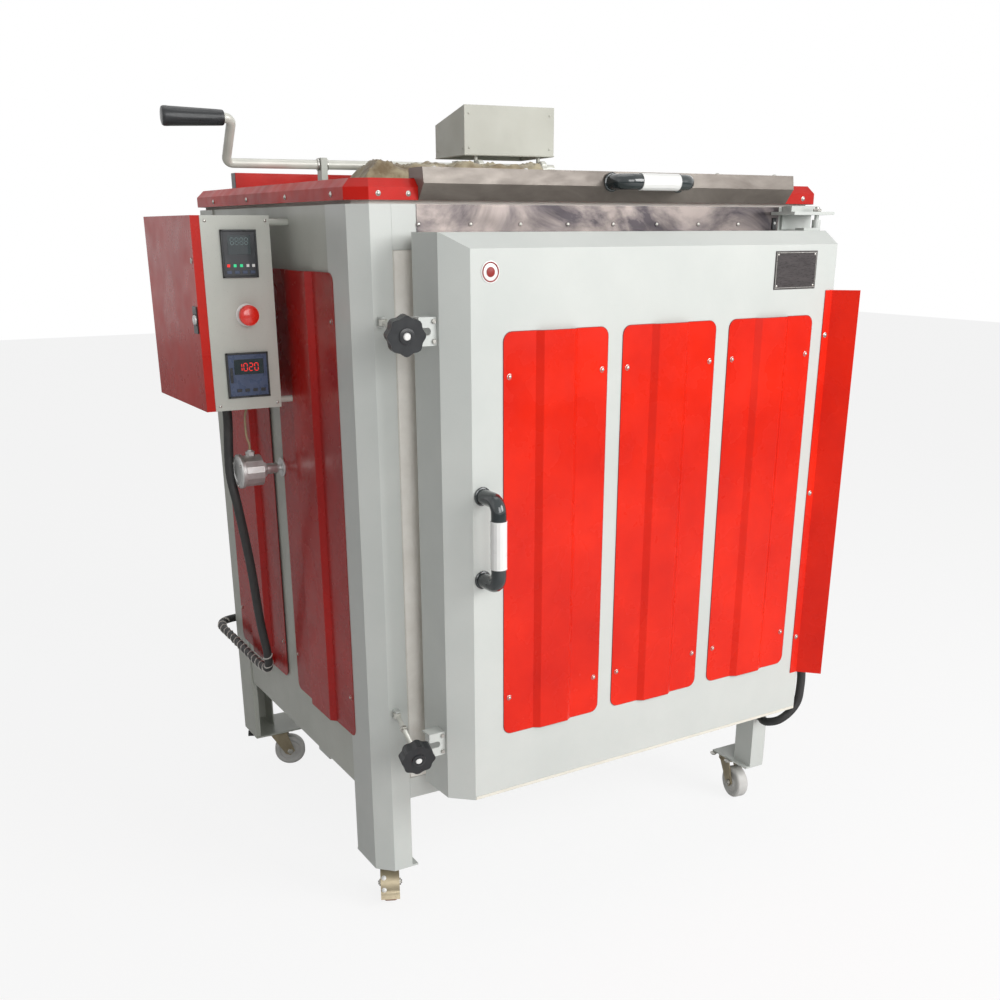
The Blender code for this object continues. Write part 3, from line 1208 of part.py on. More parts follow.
# Casters: a fork under the race, a wheel behind its swivel axis, and some brake pedals
def caster(corner):
    x, y = race_at(corner)
    top = LEG_FOOT - RACE_H - GAP
    swivel = joint(f"swivel_{corner}", (x, y, top), (0, 0, HEADING[corner]))
    side = WHEEL_W / 2 + FORK_SIDE
    axle = (x + TRAIL, y, WHEEL_R)
    fork = part("caster_" + corner, "zinc", rod((x, y, top - FORK_TOP_T), (x, y, top), RACE_R))
    neck = FORK_NOSE
    cheek = [(x - FORK_BACK, top), (x - FORK_BACK, top - FORK_TOP_T),
             (x + TRAIL - neck, WHEEL_R - FORK_LOW), (x + TRAIL, WHEEL_R - neck),
             (x + TRAIL + neck, WHEEL_R), (x + RACE_R, top - FORK_TOP_T), (x + RACE_R, top)]
    cheeks = [prism(cheek, "Y", y - side - FORK_T, y - side), prism(cheek, "Y", y + side,
                                                                    y + side + FORK_T)]
    weld(fork, joined(cheeks),
         rod((axle[0], y - side - FORK_T / 2, WHEEL_R), (axle[0], y + side + FORK_T / 2, WHEEL_R),
             AXLE_R))
    hang(swivel, fork)
    spin = joint(f"axle_{corner}", axle, parent=swivel)
    half = WHEEL_W / 2
    bore = AXLE_R + RUN
    rim = [(bore, half), (WHEEL_R - WHEEL_ROUND, half), (WHEEL_R, half - WHEEL_ROUND),
           (WHEEL_R, WHEEL_ROUND - half), (WHEEL_R - WHEEL_ROUND, -half), (bore, -half)]
    wheel = turned("wheel_" + corner, "tyre", rim, axle, (0, 1, 0))
    hang(spin, wheel)
    if corner in BRAKED:
        pin_x = x - RACE_R - PEDAL_PIN_R - GAP
        pin_z = top - FORK_TOP_T / 2
        press = joint(f"pedal_{corner}_press", (pin_x, y, pin_z), parent=swivel)
        pedal = part("pedal_" + corner, "black", rod((pin_x, y - PEDAL_W / 2, pin_z),
                                                     (pin_x, y + PEDAL_W / 2, pin_z), PEDAL_PIN_R))
        tread = folded([(pin_x, pin_z), (pin_x - PEDAL_L, pin_z + PEDAL_RISE)], PEDAL_T)
        weld(pedal, prism(tread, "Y", y - PEDAL_W / 2, y + PEDAL_W / 2))
        hang(press, pedal)


for corner in HEADING:
    caster(corner)

# Set the origin under the middle of the box
bpy.context.view_layer.update()
depsgraph = bpy.context.evaluated_depsgraph_get()
low = Vector((math.inf, math.inf))
high = Vector((-math.inf, -math.inf))
for obj in MODEL.objects:
    if obj.type != "MESH":
        continue
    made = obj.evaluated_get(depsgraph)
    for vertex in made.data.vertices:
        spot = made.matrix_world @ vertex.co
        low = Vector((min(low.x, spot.x), min(low.y, spot.y)))
        high = Vector((max(high.x, spot.x), max(high.y, spot.y)))
shift = Vector((-(low.x + high.x) / 2, -(low.y + high.y) / 2, 0.0))
for obj in bpy.data.objects:
    if obj.parent is None:
        obj.location = obj.location + shift
bpy.context.view_layer.update()
print("moved by", tuple(shift))
for obj in MODEL.objects:
    if obj.type == "EMPTY":
        print("axis", obj.name, [round(v, 6) for v in obj.matrix_world.translation],
              [[round(v, 6) for v in obj.matrix_world.col[k][:3]] for k in range(3)])
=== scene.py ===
"""Looks of the ceramic kiln: materials, small detail, cords, floor, light and camera.

Positions are written in the body's own frame (x from its left face, y from its front,
z from the floor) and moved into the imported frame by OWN, DOOR, VENT or a caster's matrix.
"""
import math

import bmesh
import bpy
from mathutils import Matrix, Vector, noise


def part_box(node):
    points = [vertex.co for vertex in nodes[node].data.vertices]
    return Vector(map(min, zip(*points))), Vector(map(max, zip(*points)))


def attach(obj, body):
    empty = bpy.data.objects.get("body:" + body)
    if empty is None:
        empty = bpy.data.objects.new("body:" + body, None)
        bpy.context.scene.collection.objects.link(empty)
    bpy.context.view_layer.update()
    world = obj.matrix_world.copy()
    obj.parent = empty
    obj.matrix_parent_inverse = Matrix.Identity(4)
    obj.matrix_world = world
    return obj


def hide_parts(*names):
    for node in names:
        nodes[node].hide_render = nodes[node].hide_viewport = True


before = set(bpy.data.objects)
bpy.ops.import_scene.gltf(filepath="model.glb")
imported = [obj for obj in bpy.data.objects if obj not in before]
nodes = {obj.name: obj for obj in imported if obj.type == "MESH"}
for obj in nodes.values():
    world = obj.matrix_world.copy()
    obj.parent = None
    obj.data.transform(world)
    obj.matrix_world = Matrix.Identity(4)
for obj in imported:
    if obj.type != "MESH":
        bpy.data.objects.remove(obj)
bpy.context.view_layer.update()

LEFT_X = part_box("leg_rear_left")[0].x
FRONT_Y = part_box("front_lintel")[0].y
OWN = Matrix.Translation((LEFT_X, FRONT_Y, 0.0))


def about(point, degrees):
    """The own frame, turned about an upright axis through a point."""
    there = Matrix.Translation(point)
    turn = Matrix.Rotation(math.radians(degrees), 4, "Z")
    return OWN @ there @ turn @ there.inverted()


BODY_W = 1.042
BODY_D = 0.888
BODY_TOP = 1.360
DOOR = about((0.982, -0.050, 0.0), 2.05)
VENT = about((-0.067, 0.435, 0.0), -5.8)
RACES = {"front_left": (0.056, 0.0875), "front_right": (BODY_W - 0.056, 0.0875),
         "rear_left": (0.068, BODY_D - 0.082), "rear_right": (BODY_W - 0.068, BODY_D - 0.082)}
HEADINGS = {"front_left": -114.0, "front_right": -98.0, "rear_left": -19.0, "rear_right": 20.0}
CASTER = {corner: about((*RACES[corner], 0.0), HEADINGS[corner]) for corner in RACES}

# Camera at the photograph's view
scene = bpy.context.scene
lens = bpy.data.cameras.new("camera")
lens.sensor_width = 36.0
lens.lens = 1147.67 * 36.0 / 1000.0
lens.shift_y = 0.163
camera = bpy.data.objects.new("camera", lens)
scene.collection.objects.link(camera)
right = Vector((0.86554725, -0.50082337, -0.00197498))
up = Vector((0.17917657, 0.3059744, 0.93502697))
back = -Vector((0.46767906, 0.80966389, -0.35457111))
camera.matrix_world = Matrix.Translation(OWN @ Vector((-0.8012, -1.8659, 1.3224))) @ Matrix(
    (right, up, back)).transposed().to_4x4()
scene.camera = camera


# Materials
def finish(name, base, second, rough, metal=0.0, scale=6.0, stretch=(1, 1, 1), spread=0.5,
           rough_var=0.08, bump=0.0, bump_scale=300.0, cells=False, coat=0.0, specks=None,
           sheen=0.0, spec=0.5, glow=None, swirl=0.0):
    """A paint, metal or fibre with uneven colour and gloss, and a fine surface."""
    look = bpy.data.materials.new(name)
    look.use_nodes = True
    tree = look.node_tree
    shader = tree.nodes["Principled BSDF"]
    make = tree.nodes.new
    link = tree.links.new
    place = make("ShaderNodeTexCoord")
    fit = make("ShaderNodeMapping")
    fit.inputs["Scale"].default_value = stretch
    link(place.outputs["Object"], fit.inputs["Vector"])
    cloud = make("ShaderNodeTexNoise")
    cloud.inputs["Scale"].default_value = scale
    cloud.inputs["Detail"].default_value = 6.0
    cloud.inputs["Roughness"].default_value = 0.6
    cloud.inputs["Distortion"].default_value = swirl
    link(fit.outputs["Vector"], cloud.inputs["Vector"])
    ramp = make("ShaderNodeValToRGB")
    ramp.color_ramp.elements[0].position = 0.5 - spread / 2
    ramp.color_ramp.elements[0].color = (*second, 1.0)
    ramp.color_ramp.elements[1].position = 0.5 + spread / 2
    ramp.color_ramp.elements[1].color = (*base, 1.0)
    link(cloud.outputs["Fac"], ramp.inputs["Fac"])
    colour = ramp.outputs["Color"]
    if specks:
        tint, size, share = specks
        dots = make("ShaderNodeTexVoronoi")
        dots.inputs["Scale"].default_value = size
        link(place.outputs["Object"], dots.inputs["Vector"])
        gate = make("ShaderNodeMapRange")
        gate.inputs["From Min"].default_value = share
        gate.inputs["From Max"].default_value = share * 0.4
        link(dots.outputs["Distance"], gate.inputs["Value"])
        mix = make("ShaderNodeMix")
        mix.data_type = "RGBA"
        mix.inputs["B"].default_value = (*tint, 1.0)
        link(gate.outputs["Result"], mix.inputs["Factor"])
        link(colour, mix.inputs["A"])
        colour = mix.outputs["Result"]
    link(colour, shader.inputs["Base Color"])
    dull = make("ShaderNodeTexNoise")
    dull.inputs["Scale"].default_value = scale * 3.7
    dull.inputs["Detail"].default_value = 4.0
    link(fit.outputs["Vector"], dull.inputs["Vector"])
    span = make("ShaderNodeMapRange")
    span.inputs["From Min"].default_value = 0.3
    span.inputs["From Max"].default_value = 0.7
    span.inputs["To Min"].default_value = max(rough - rough_var, 0.03)
    span.inputs["To Max"].default_value = min(rough + rough_var, 1.0)
    link(dull.outputs["Fac"], span.inputs["Value"])
    link(span.outputs["Result"], shader.inputs["Roughness"])
    if bump:
        grain = make("ShaderNodeTexVoronoi" if cells else "ShaderNodeTexNoise")
        grain.inputs["Scale"].default_value = bump_scale
        link(fit.outputs["Vector"], grain.inputs["Vector"])
        press = make("ShaderNodeBump")
        press.inputs["Strength"].default_value = bump
        press.inputs["Distance"].default_value = 0.001
        link(grain.outputs["Distance" if cells else "Fac"], press.inputs["Height"])
        link(press.outputs["Normal"], shader.inputs["Normal"])
    shader.inputs["Metallic"].default_value = metal
    shader.inputs["Coat Weight"].default_value = coat
    shader.inputs["Coat Roughness"].default_value = 0.08
    shader.inputs["Sheen Weight"].default_value = sheen
    shader.inputs["Specular IOR Level"].default_value = spec
    if glow:
        shader.inputs["Emission Color"].default_value = (*glow, 1.0)
        shader.inputs["Emission Strength"].default_value = 0.8
    return look


GREY = finish("grey_enamel", (0.615, 0.63, 0.60), (0.52, 0.545, 0.52), 0.38, scale=3.0, bump=0.10,
              bump_scale=420.0, coat=0.10, specks=((0.46, 0.48, 0.45), 260.0, 0.10))
# Darker copy of the grey enamel: painted shade on the casing, rear left leg, cabinet case and lid sheet
GREY_SHADED = finish("grey_enamel_painted_shade", (0.54, 0.55, 0.50), (0.40, 0.415, 0.37), 0.42, scale=4.0,
                   bump=0.10, bump_scale=420.0, coat=0.08, specks=((0.30, 0.30, 0.26), 210.0, 0.12))
GREY_VENT = finish("grey_enamel_vent", (0.57, 0.57, 0.50), (0.48, 0.48, 0.42), 0.45, scale=5.0,
                   bump=0.08, bump_scale=300.0)
RED = finish("red_enamel", (0.82, 0.020, 0.003), (0.56, 0.008, 0.002), 0.28, scale=4.0, bump=0.12,
             bump_scale=330.0, coat=0.05, specks=((0.93, 0.05, 0.02), 190.0, 0.09), spec=0.2)
# Darker copy of the red enamel: painted shade on the side panels
RED_SHADED = finish("red_enamel_painted_shade", (0.44, 0.009, 0.006), (0.27, 0.006, 0.005), 0.26, scale=5.0,
                  bump=0.12, bump_scale=330.0, coat=0.15, spec=0.25)
# Darker copy of the red enamel: painted shade on the cabinet door
RED_CABINET_SHADED = finish("red_cabinet_painted_shade", (0.56, 0.012, 0.004), (0.40, 0.007, 0.003), 0.30, scale=5.0,
                  bump=0.10, bump_scale=330.0, coat=0.05, spec=0.2)
RED_EDGE = finish("red_edge", (0.30, 0.008, 0.005), (0.20, 0.004, 0.003), 0.45, scale=30.0)
# Darker copy of the red enamel: painted shade on the lid frame
RED_LID_SHADED = finish("red_lid_painted_shade", (0.62, 0.011, 0.004), (0.36, 0.006, 0.003), 0.40, scale=7.0, bump=0.1,
                 bump_scale=250.0, coat=0.04, spec=0.2)
# Stainless band: its swirling light and dark purplish mottle is painted reflection
STAINLESS_PAINTED_REFLECTION = finish("stainless", (0.30, 0.255, 0.235), (0.065, 0.055, 0.062), 0.20, metal=0.6, scale=4.0,
                   stretch=(1.0, 1.0, 1.3), spread=0.22, rough_var=0.06, bump=0.10, bump_scale=14.0,
                   swirl=2.2)
TRIM = finish("stainless_trim", (0.24, 0.215, 0.19), (0.14, 0.12, 0.105), 0.36, metal=0.25, scale=3.0,
              stretch=(3.0, 0.6, 8.0), spread=0.4, rough_var=0.08, bump=0.08, bump_scale=9.0, swirl=0.6,
              spec=0.2)
SCREW = finish("screw_zinc", (0.52, 0.51, 0.48), (0.34, 0.33, 0.30), 0.32, metal=0.9, scale=60.0)
ZINC = finish("yellow_zinc", (0.44, 0.38, 0.26), (0.26, 0.21, 0.14), 0.36, metal=0.6, scale=24.0,
              bump=0.1, bump_scale=160.0)
ROD = finish("bright_zinc", (0.66, 0.66, 0.60), (0.56, 0.56, 0.51), 0.38, metal=0.15, scale=30.0)
CAST = finish("cast_aluminium", (0.66, 0.66, 0.65), (0.48, 0.48, 0.47), 0.42, metal=0.85, scale=40.0,
              bump=0.3, bump_scale=420.0)
BLACK = finish("black_plastic", (0.022, 0.024, 0.026), (0.012, 0.013, 0.015), 0.34, scale=20.0,
               bump=0.1, bump_scale=500.0)
BLACK_BAR = finish("black_enamel", (0.018, 0.030, 0.032), (0.010, 0.014, 0.016), 0.2, scale=12.0,
                   coat=0.6, bump=0.05, bump_scale=200.0)
RUBBER = finish("black_rubber", (0.020, 0.020, 0.021), (0.035, 0.034, 0.032), 0.62, scale=18.0,
                bump=0.25, bump_scale=600.0)
WRAP = finish("grey_wrap", (0.62, 0.60, 0.56), (0.45, 0.43, 0.40), 0.5, scale=40.0, bump=0.1)
WHITE = finish("white_plastic", (0.84, 0.84, 0.82), (0.74, 0.74, 0.72), 0.33, scale=14.0,
               bump=0.05, bump_scale=300.0)
CREAM = finish("cream_hem", (0.78, 0.75, 0.66), (0.66, 0.63, 0.55), 0.5, scale=20.0)
FIBRE = finish("white_fibre", (0.86, 0.84, 0.79), (0.70, 0.67, 0.61), 0.95, scale=14.0,
               rough_var=0.03, bump=0.9, bump_scale=160.0, sheen=0.3)
WOOL = finish("brown_fibre", (0.46, 0.40, 0.27), (0.17, 0.12, 0.065), 0.95, scale=22.0,
              spread=0.3, rough_var=0.03, bump=1.0, bump_scale=140.0, sheen=0.3)
BRICK = finish("pale_brick", (0.84, 0.80, 0.72), (0.70, 0.64, 0.54), 0.9, scale=16.0, bump=0.8,
               bump_scale=260.0, cells=True)
SCALED = finish("scaled_steel", (0.10, 0.09, 0.085), (0.055, 0.05, 0.05), 0.7, metal=0.5,
                scale=30.0, bump=0.5, bump_scale=200.0)
WHEEL = finish("grey_wheel", (0.62, 0.61, 0.59), (0.50, 0.49, 0.47), 0.45, scale=30.0, bump=0.12,
               bump_scale=240.0)
TREAD = finish("worn_tread", (0.36, 0.13, 0.09), (0.24, 0.10, 0.07), 0.65, scale=40.0, bump=0.3)
BUTTON = finish("red_button", (0.86, 0.035, 0.02), (0.74, 0.02, 0.012), 0.28, scale=30.0, coat=0.5)
FACE = finish("black_face", (0.020, 0.022, 0.026), (0.030, 0.033, 0.040), 0.16, scale=24.0, coat=0.6)
FACE_BLUE = finish("blue_face", (0.05, 0.08, 0.16), (0.03, 0.045, 0.09), 0.3, scale=24.0, coat=0.4)
GLASS = finish("display_window", (0.012, 0.030, 0.036), (0.008, 0.016, 0.020), 0.08, scale=30.0,
               coat=1.0)
LED_RED = finish("red_digits", (0.62, 0.02, 0.015), (0.50, 0.01, 0.01), 0.3, scale=90.0,
                 glow=(0.8, 0.02, 0.01))
LED_GREEN = finish("green_digits", (0.03, 0.50, 0.22), (0.02, 0.36, 0.16), 0.3, scale=90.0,
                   glow=(0.02, 0.5, 0.2))
DIM = finish("unlit_digits", (0.16, 0.22, 0.22), (0.11, 0.16, 0.16), 0.4, scale=90.0)
PLATE = finish("dark_plate", (0.035, 0.030, 0.030), (0.07, 0.06, 0.06), 0.3, metal=0.3, scale=30.0,
               stretch=(1.0, 1.0, 6.0))
LEAD = finish("brown_lead", (0.42, 0.34, 0.20), (0.28, 0.22, 0.13), 0.7, scale=60.0, bump=0.6,
              bump_scale=700.0)
LOOKS = {
    GREY: ("leg_front_left leg_front_right leg_rear_right front_lintel door_shell "
           "catch_upper catch_lower base_tray"),
    # the darker grey copy, painted shade
    GREY_SHADED: ("casing leg_rear_left cabinet_case lid_sheet"),
    GREY_VENT: "vent_cap",
    RED: "door_panel_1 door_panel_2 door_panel_3 door_wing",
    # darker red copy, painted shade
    RED_CABINET_SHADED: "cabinet_door",
    # the darker red copy, painted shade
    RED_SHADED: ("side_panel_left_front side_panel_left_rear side_panel_right_front "
               "side_panel_right_rear"),
    # darker red copy, painted shade
    RED_LID_SHADED: "lid_frame",
    # swirled mottle, painted reflection
    STAINLESS_PAINTED_REFLECTION: "lintel_band",
    TRIM: "lid_trim",
    ZINC: "caster_front_left caster_front_right caster_rear_left caster_rear_right",
    ROD: "bolt_upper bolt_lower crank",
    CAST: "thermocouple cabinet_lock",
    BLACK: ("knob_upper knob_lower crank_grip controller_upper controller_lower "
            "pedal_front_left pedal_rear_left"),
    BLACK_BAR: "door_handle lid_handle",
    RUBBER: "door_cable conduit_left",
    LEAD: "thermocouple_lead",
    WHITE: "door_handle_sleeve lid_handle_sleeve cabinet_switchgear",
    FIBRE: "chamber_lining door_insulation lid_insulation",
    WOOL: "fibre_blanket",
    BRICK: "hearth_plate",
    SCALED: "heating_element",
    WHEEL: "wheel_front_left wheel_front_right wheel_rear_left wheel_rear_right",
    BUTTON: "push_button",
}
for look, names in LOOKS.items():
    for name in names.split():
        nodes[name].data.materials.clear()
        nodes[name].data.materials.append(look)


# Helpers that add shapes to a mesh
def add_block(bm, x0, x1, y0, y1, z0, z1):
    made = bmesh.ops.create_cube(bm, size=1.0)["verts"]
    bmesh.ops.scale(bm, vec=(x1 - x0, y1 - y0, z1 - z0), verts=made)
    bmesh.ops.translate(bm, vec=((x0 + x1) / 2, (y0 + y1) / 2, (z0 + z1) / 2), verts=made)


def add_lathe(bm, profile, at, along, steps=24, squeeze=None):
    """A profile of (radius, height) points spun about an axis and capped."""
    turn = Vector(along).to_track_quat("Z", "Y").to_matrix()
    at = Vector(at)
    rings = []
    for radius, height in profile:
        loop = []
        for k in range(steps):
            angle = math.tau * k / steps
            r = radius if squeeze is None else squeeze(radius, angle, height)
            spot = Vector((r * math.cos(angle), r * math.sin(angle), height))
            loop.append(bm.verts.new(at + turn @ spot))
        rings.append(loop)
    for low, high in zip(rings, rings[1:]):
        for k in range(steps):
            j = (k + 1) % steps
            bm.faces.new((low[k], low[j], high[j], high[k]))
    bm.faces.new(rings[0][::-1])
    bm.faces.new(rings[-1])


def add_rod(bm, a, b, radius, steps=20):
    a, b = Vector(a), Vector(b)
    add_lathe(bm, [(radius, 0.0), (radius, (b - a).length)], a, b - a, steps)


def add_hex(bm, at, along, radius, height):
    chamfer = radius * 0.12
    add_lathe(bm, [(radius - chamfer, 0.0), (radius, chamfer), (radius, height - chamfer),
                   (radius - chamfer, height)], at, along, 6)


def add_dome(bm, at, along, radius, height, washer=0.0):
    """A pan screw head, with a washer under it if wanted."""
    lift = 0.0
    if washer:
        add_lathe(bm, [(washer - 0.0003, 0.0), (washer, 0.0002), (washer, 0.0006),
                       (washer - 0.0003, 0.0008)], at, along, 20)
        lift = 0.0007
    arc = [(radius * math.cos(t * math.pi / 10), lift + height * math.sin(t * math.pi / 10))
           for t in range(5)]
    add_lathe(bm, [(radius, lift - 0.0002)] + arc, at, along, 16)


def add_sweep(bm, points, radius, sides=12, ends=True):
    """A tube along points, with its rings turned as little as possible."""
    points = [Vector(p) for p in points]
    side = None
    rings = []
    for k, point in enumerate(points):
        way = (points[min(k + 1, len(points) - 1)] - points[max(k - 1, 0)]).normalized()
        if side is None:
            side = way.orthogonal().normalized()
        side = (side - way * side.dot(way)).normalized()
        other = way.cross(side)
        r = radius(k) if callable(radius) else radius
        rings.append([bm.verts.new(point + side * (r * math.cos(math.tau * j / sides))
                                   + other * (r * math.sin(math.tau * j / sides)))
                      for j in range(sides)])
    for low, high in zip(rings, rings[1:]):
        for j in range(sides):
            n = (j + 1) % sides
            bm.faces.new((low[j], low[n], high[n], high[j]))
    if ends:
        bm.faces.new(rings[0][::-1])
        bm.faces.new(rings[-1])


def add_plate(bm, corners, thick):
    """A flat plate from its corners in order, thickened along its normal."""
    verts = [bm.verts.new(c) for c in corners]
    face = bm.faces.new(verts)
    face.normal_update()
    lift = face.normal * thick
    made = bmesh.ops.extrude_face_region(bm, geom=[face])["geom"]
    moved = [g for g in made if isinstance(g, bmesh.types.BMVert)]
    bmesh.ops.translate(bm, vec=lift, verts=moved)


def piece(name, bm, body, look, place=OWN, bevel=0.0, smooth=True):
    bmesh.ops.transform(bm, matrix=place, verts=bm.verts)
    bmesh.ops.recalc_face_normals(bm, faces=bm.faces)
    mesh = bpy.data.meshes.new(name)
    bm.to_mesh(mesh)
    bm.free()
    mesh.materials.append(look)
    if smooth:
        mesh.shade_smooth()
        mesh.set_sharp_from_angle(angle=math.radians(38))
    obj = bpy.data.objects.new(name, mesh)
    scene.collection.objects.link(obj)
    if bevel:
        round_off = obj.modifiers.new("bevel", "BEVEL")
        round_off.width = bevel
        round_off.segments = 2
        round_off.limit_method = "ANGLE"
        round_off.angle_limit = math.radians(40)
    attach(obj, body)
    return obj


def eased(knots, per_span):
    """Points of a smooth curve through the knots."""
    points = [Vector(k) for k in knots]
    points = [2 * points[0] - points[1]] + points + [2 * points[-1] - points[-2]]
    out = []
    for a, b, c, d in zip(points, points[1:], points[2:], points[3:]):
        for k in range(per_span):
            t = k / per_span
            out.append(0.5 * (2 * b + (c - a) * t + (2 * a - 5 * b + 4 * c - d) * t * t
                              + (3 * b - a - 3 * c + d) * t ** 3))
    out.append(points[-2])
    return out


# Cords: the cable at the door's hinge side, the conduit and the thermocouple's lead
GAP = 0.0003
CABLE = [(0.9676, -0.100, 0.425), (0.972, -0.100, 0.425), (0.979, -0.100, 0.425),
         (0.999, -0.101, 0.410), (1.010, -0.101, 0.375), (1.012, -0.100, 0.335),
         (1.009, -0.098, 0.303), (0.994, -0.092, 0.277), (0.976, -0.078, 0.256),
         (0.968, -0.052, 0.243), (0.975, -0.028, 0.237), (0.984, -0.014, 0.236),
         (0.985, -0.007, 0.236), (0.985, -2 * GAP, 0.236)]
CONDUIT = [(-0.100, 0.454, 0.984 - GAP), (-0.100, 0.454, 0.950), (-0.104, 0.4535, 0.890),
           (-0.104, 0.453, 0.840), (-0.094, 0.450, 0.770), (-0.070, 0.476, 0.640),
           (-0.050, 0.5046, 0.505), (-0.036, 0.513, 0.420), (-0.030, 0.535, 0.378),
           (-0.030, 0.600, 0.368), (-0.030, 0.700, 0.370), (-0.030, 0.800, 0.373),
           (-0.029, 0.885, 0.375), (-0.010, 0.922, 0.376), (0.040, 0.932, 0.377),
           (0.085, 0.928, 0.377), (0.106, 0.908, 0.377), (0.108, BODY_D - 0.003, 0.377)]
LEAD_X = -0.069
LEAD_Y = 0.4225
THIN_LEAD = [(LEAD_X, LEAD_Y, 0.8993), (LEAD_X, LEAD_Y, 0.9113),
             (LEAD_X - 0.006, LEAD_Y - 0.004, 0.930), (LEAD_X - 0.004, LEAD_Y + 0.002, 0.965),
             (LEAD_X, LEAD_Y, 0.9837), (LEAD_X, LEAD_Y, 0.9937)]
for name, knots, radius, look, slot, stiff, node in (
        ("cable_loop", CABLE, 0.0095, RUBBER, "black_rubber", "limp", "door_cable"),
        ("conduit_hose", CONDUIT, 0.0095, RUBBER, "black_rubber", "stiff", "conduit_left"),
        ("sensor_lead", THIN_LEAD, 0.0022, LEAD, "lead", "limp", "thermocouple_lead")):
    route = eased([OWN @ Vector(k) for k in knots], 6)
    bm = bmesh.new()
    add_sweep(bm, route, radius, 16)
    hose = piece(name, bm, "kiln_body", look, Matrix.Identity(4))
    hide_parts(node)

# Spiral wrap round the conduit where it lies along the skirt
wound = eased(CONDUIT[7:14], 24)
coil = []
run = 0.0
PITCH = 0.026
for k, point in enumerate(wound):
    way = (wound[min(k + 1, len(wound) - 1)] - wound[max(k - 1, 0)]).normalized()
    side = way.cross(Vector((0.0, 0.0, 1.0)))
    side = Vector((1.0, 0.0, 0.0)) if side.length < 0.1 else side.normalized()
    run += (point - wound[k - 1]).length if k else 0.0
    angle = math.tau * run / PITCH
    coil.append(point + (side * math.cos(angle) + way.cross(side) * math.sin(angle)) * 0.0094)
bm = bmesh.new()
add_sweep(bm, coil, 0.0022, 6)
piece("conduit_wrap", bm, "kiln_body", WRAP)


# Screws on the red panels, with the dark hem round each panel
def hem(bm, u0, u1, z0, z1, radius, profile, spot, thick):
    """A thin bead round a pressed panel: spot turns (u, rise, z) into a point."""
    def rise_at(u):
        for (a, ra), (b, rb) in zip(profile, profile[1:]):
            if a <= u <= b:
                return ra + (rb - ra) * (u - a) / (b - a)
        return 0.0

    line = []
    for u, z, start in ((u1 - radius, z0 + radius, -90), (u1 - radius, z1 - radius, 0),
                        (u0 + radius, z1 - radius, 90), (u0 + radius, z0 + radius, 180)):
        for k in range(6):
            angle = math.radians(start + 18 * k)
            line.append((u + radius * math.cos(angle), z + radius * math.sin(angle)))
        if start in (0, 180):
            inner = [p[0] for p in profile[1:-1]]
            edge = z1 if start == 0 else z0
            line += [(p, edge) for p in (inner[::-1] if start == 0 else inner)]
    line.append(line[0])
    add_sweep(bm, [spot(u, rise_at(u), z) for u, z in line], thick, 6, ends=False)


def pressed(u0, wide, inset, slope, rise):
    u1 = u0 + wide
    return [(u0, 0), (u0 + inset, 0), (u0 + inset + slope, rise), (u1 - inset - slope, rise),
            (u1 - inset, 0), (u1, 0)]


FACE_X = 0.1283
FACE_Y = -0.1280
for k in range(3):
    x0 = FACE_X + 0.0625 + k * 0.2515
    bm = bmesh.new()
    for x in (x0 + 0.0115, x0 + 0.218 - 0.0115):
        for z in (0.501, 1.087):
            add_dome(bm, (x, FACE_Y - 0.0012, z), (0, -1, 0), 0.0038, 0.0026, 0.0052)
    piece(f"door_screws_{k + 1}", bm, "front_door", SCREW, DOOR)
    bm = bmesh.new()
    hem(bm, x0, x0 + 0.218, 0.428, 1.160, 0.016, pressed(x0, 0.218, 0.0655, 0.012, 0.008),
        lambda u, rise, z: (u, FACE_Y - 0.0004 - rise, z), 0.0009)
    piece(f"door_hem_{k + 1}", bm, "front_door", RED_EDGE, DOOR)
for side in ("left", "right"):
    out = -1 if side == "left" else 1
    face = -GAP if side == "left" else BODY_W + GAP
    for which, y0 in (("front", 0.1003), ("rear", 0.4850)):
        bm = bmesh.new()
        for y in (y0 + 0.0115, y0 + 0.3154 - 0.0115):
            for z in (0.448, 1.167):
                add_dome(bm, (face + out * 0.0012, y, z), (out, 0, 0), 0.0038, 0.0026, 0.0052)
        piece(f"panel_screws_{side}_{which}", bm, "kiln_body", SCREW)
        bm = bmesh.new()
        hem(bm, y0, y0 + 0.3154, 0.366, 1.249, 0.016, pressed(y0, 0.3154, 0.096, 0.011, 0.010),
            lambda u, rise, z: (face + out * (0.0004 + rise), u, z), 0.0009)
        piece(f"panel_hem_{side}_{which}", bm, "kiln_body", RED_EDGE)

# Door: name plate left blank, round badge left plain, bottom hem, wing screws
bm = bmesh.new()
px0, px1, pz0, pz1 = FACE_X + 0.672, FACE_X + 0.782, 1.2105, 1.2800
add_block(bm, px0, px1, FACE_Y - 0.0011, FACE_Y + 0.0001, pz0, pz1)
piece("name_plate", bm, "front_door", PLATE, DOOR, 0.0003)
bm = bmesh.new()
for z in (pz0 + 0.0030, pz1 - 0.0030):
    add_block(bm, px0 + 0.002, px1 - 0.002, FACE_Y - 0.0015, FACE_Y - 0.0010, z - 0.0005, z + 0.0005)
for x in (px0 + 0.0030, px1 - 0.0030):
    add_block(bm, x - 0.0005, x + 0.0005, FACE_Y - 0.0015, FACE_Y - 0.0010, pz0 + 0.002, pz1 - 0.002)
for x in (px0 + 0.0065, px1 - 0.0065):
    for z in (pz0 + 0.0065, pz1 - 0.0065):
        add_dome(bm, (x, FACE_Y - 0.0011, z), (0, -1, 0), 0.0024, 0.0014)
piece("name_plate_rim", bm, "front_door", SCREW, DOOR)
bm = bmesh.new()
add_lathe(bm, [(0.0176, 0.0), (0.0176, 0.0008), (0.0164, 0.0012), (0.0002, 0.0014)],
          (FACE_X + 0.0375, FACE_Y + 0.0001, 1.2554), (0, -1, 0), 40)
piece("badge_plain", bm, "front_door", WHITE, DOOR)
bm = bmesh.new()
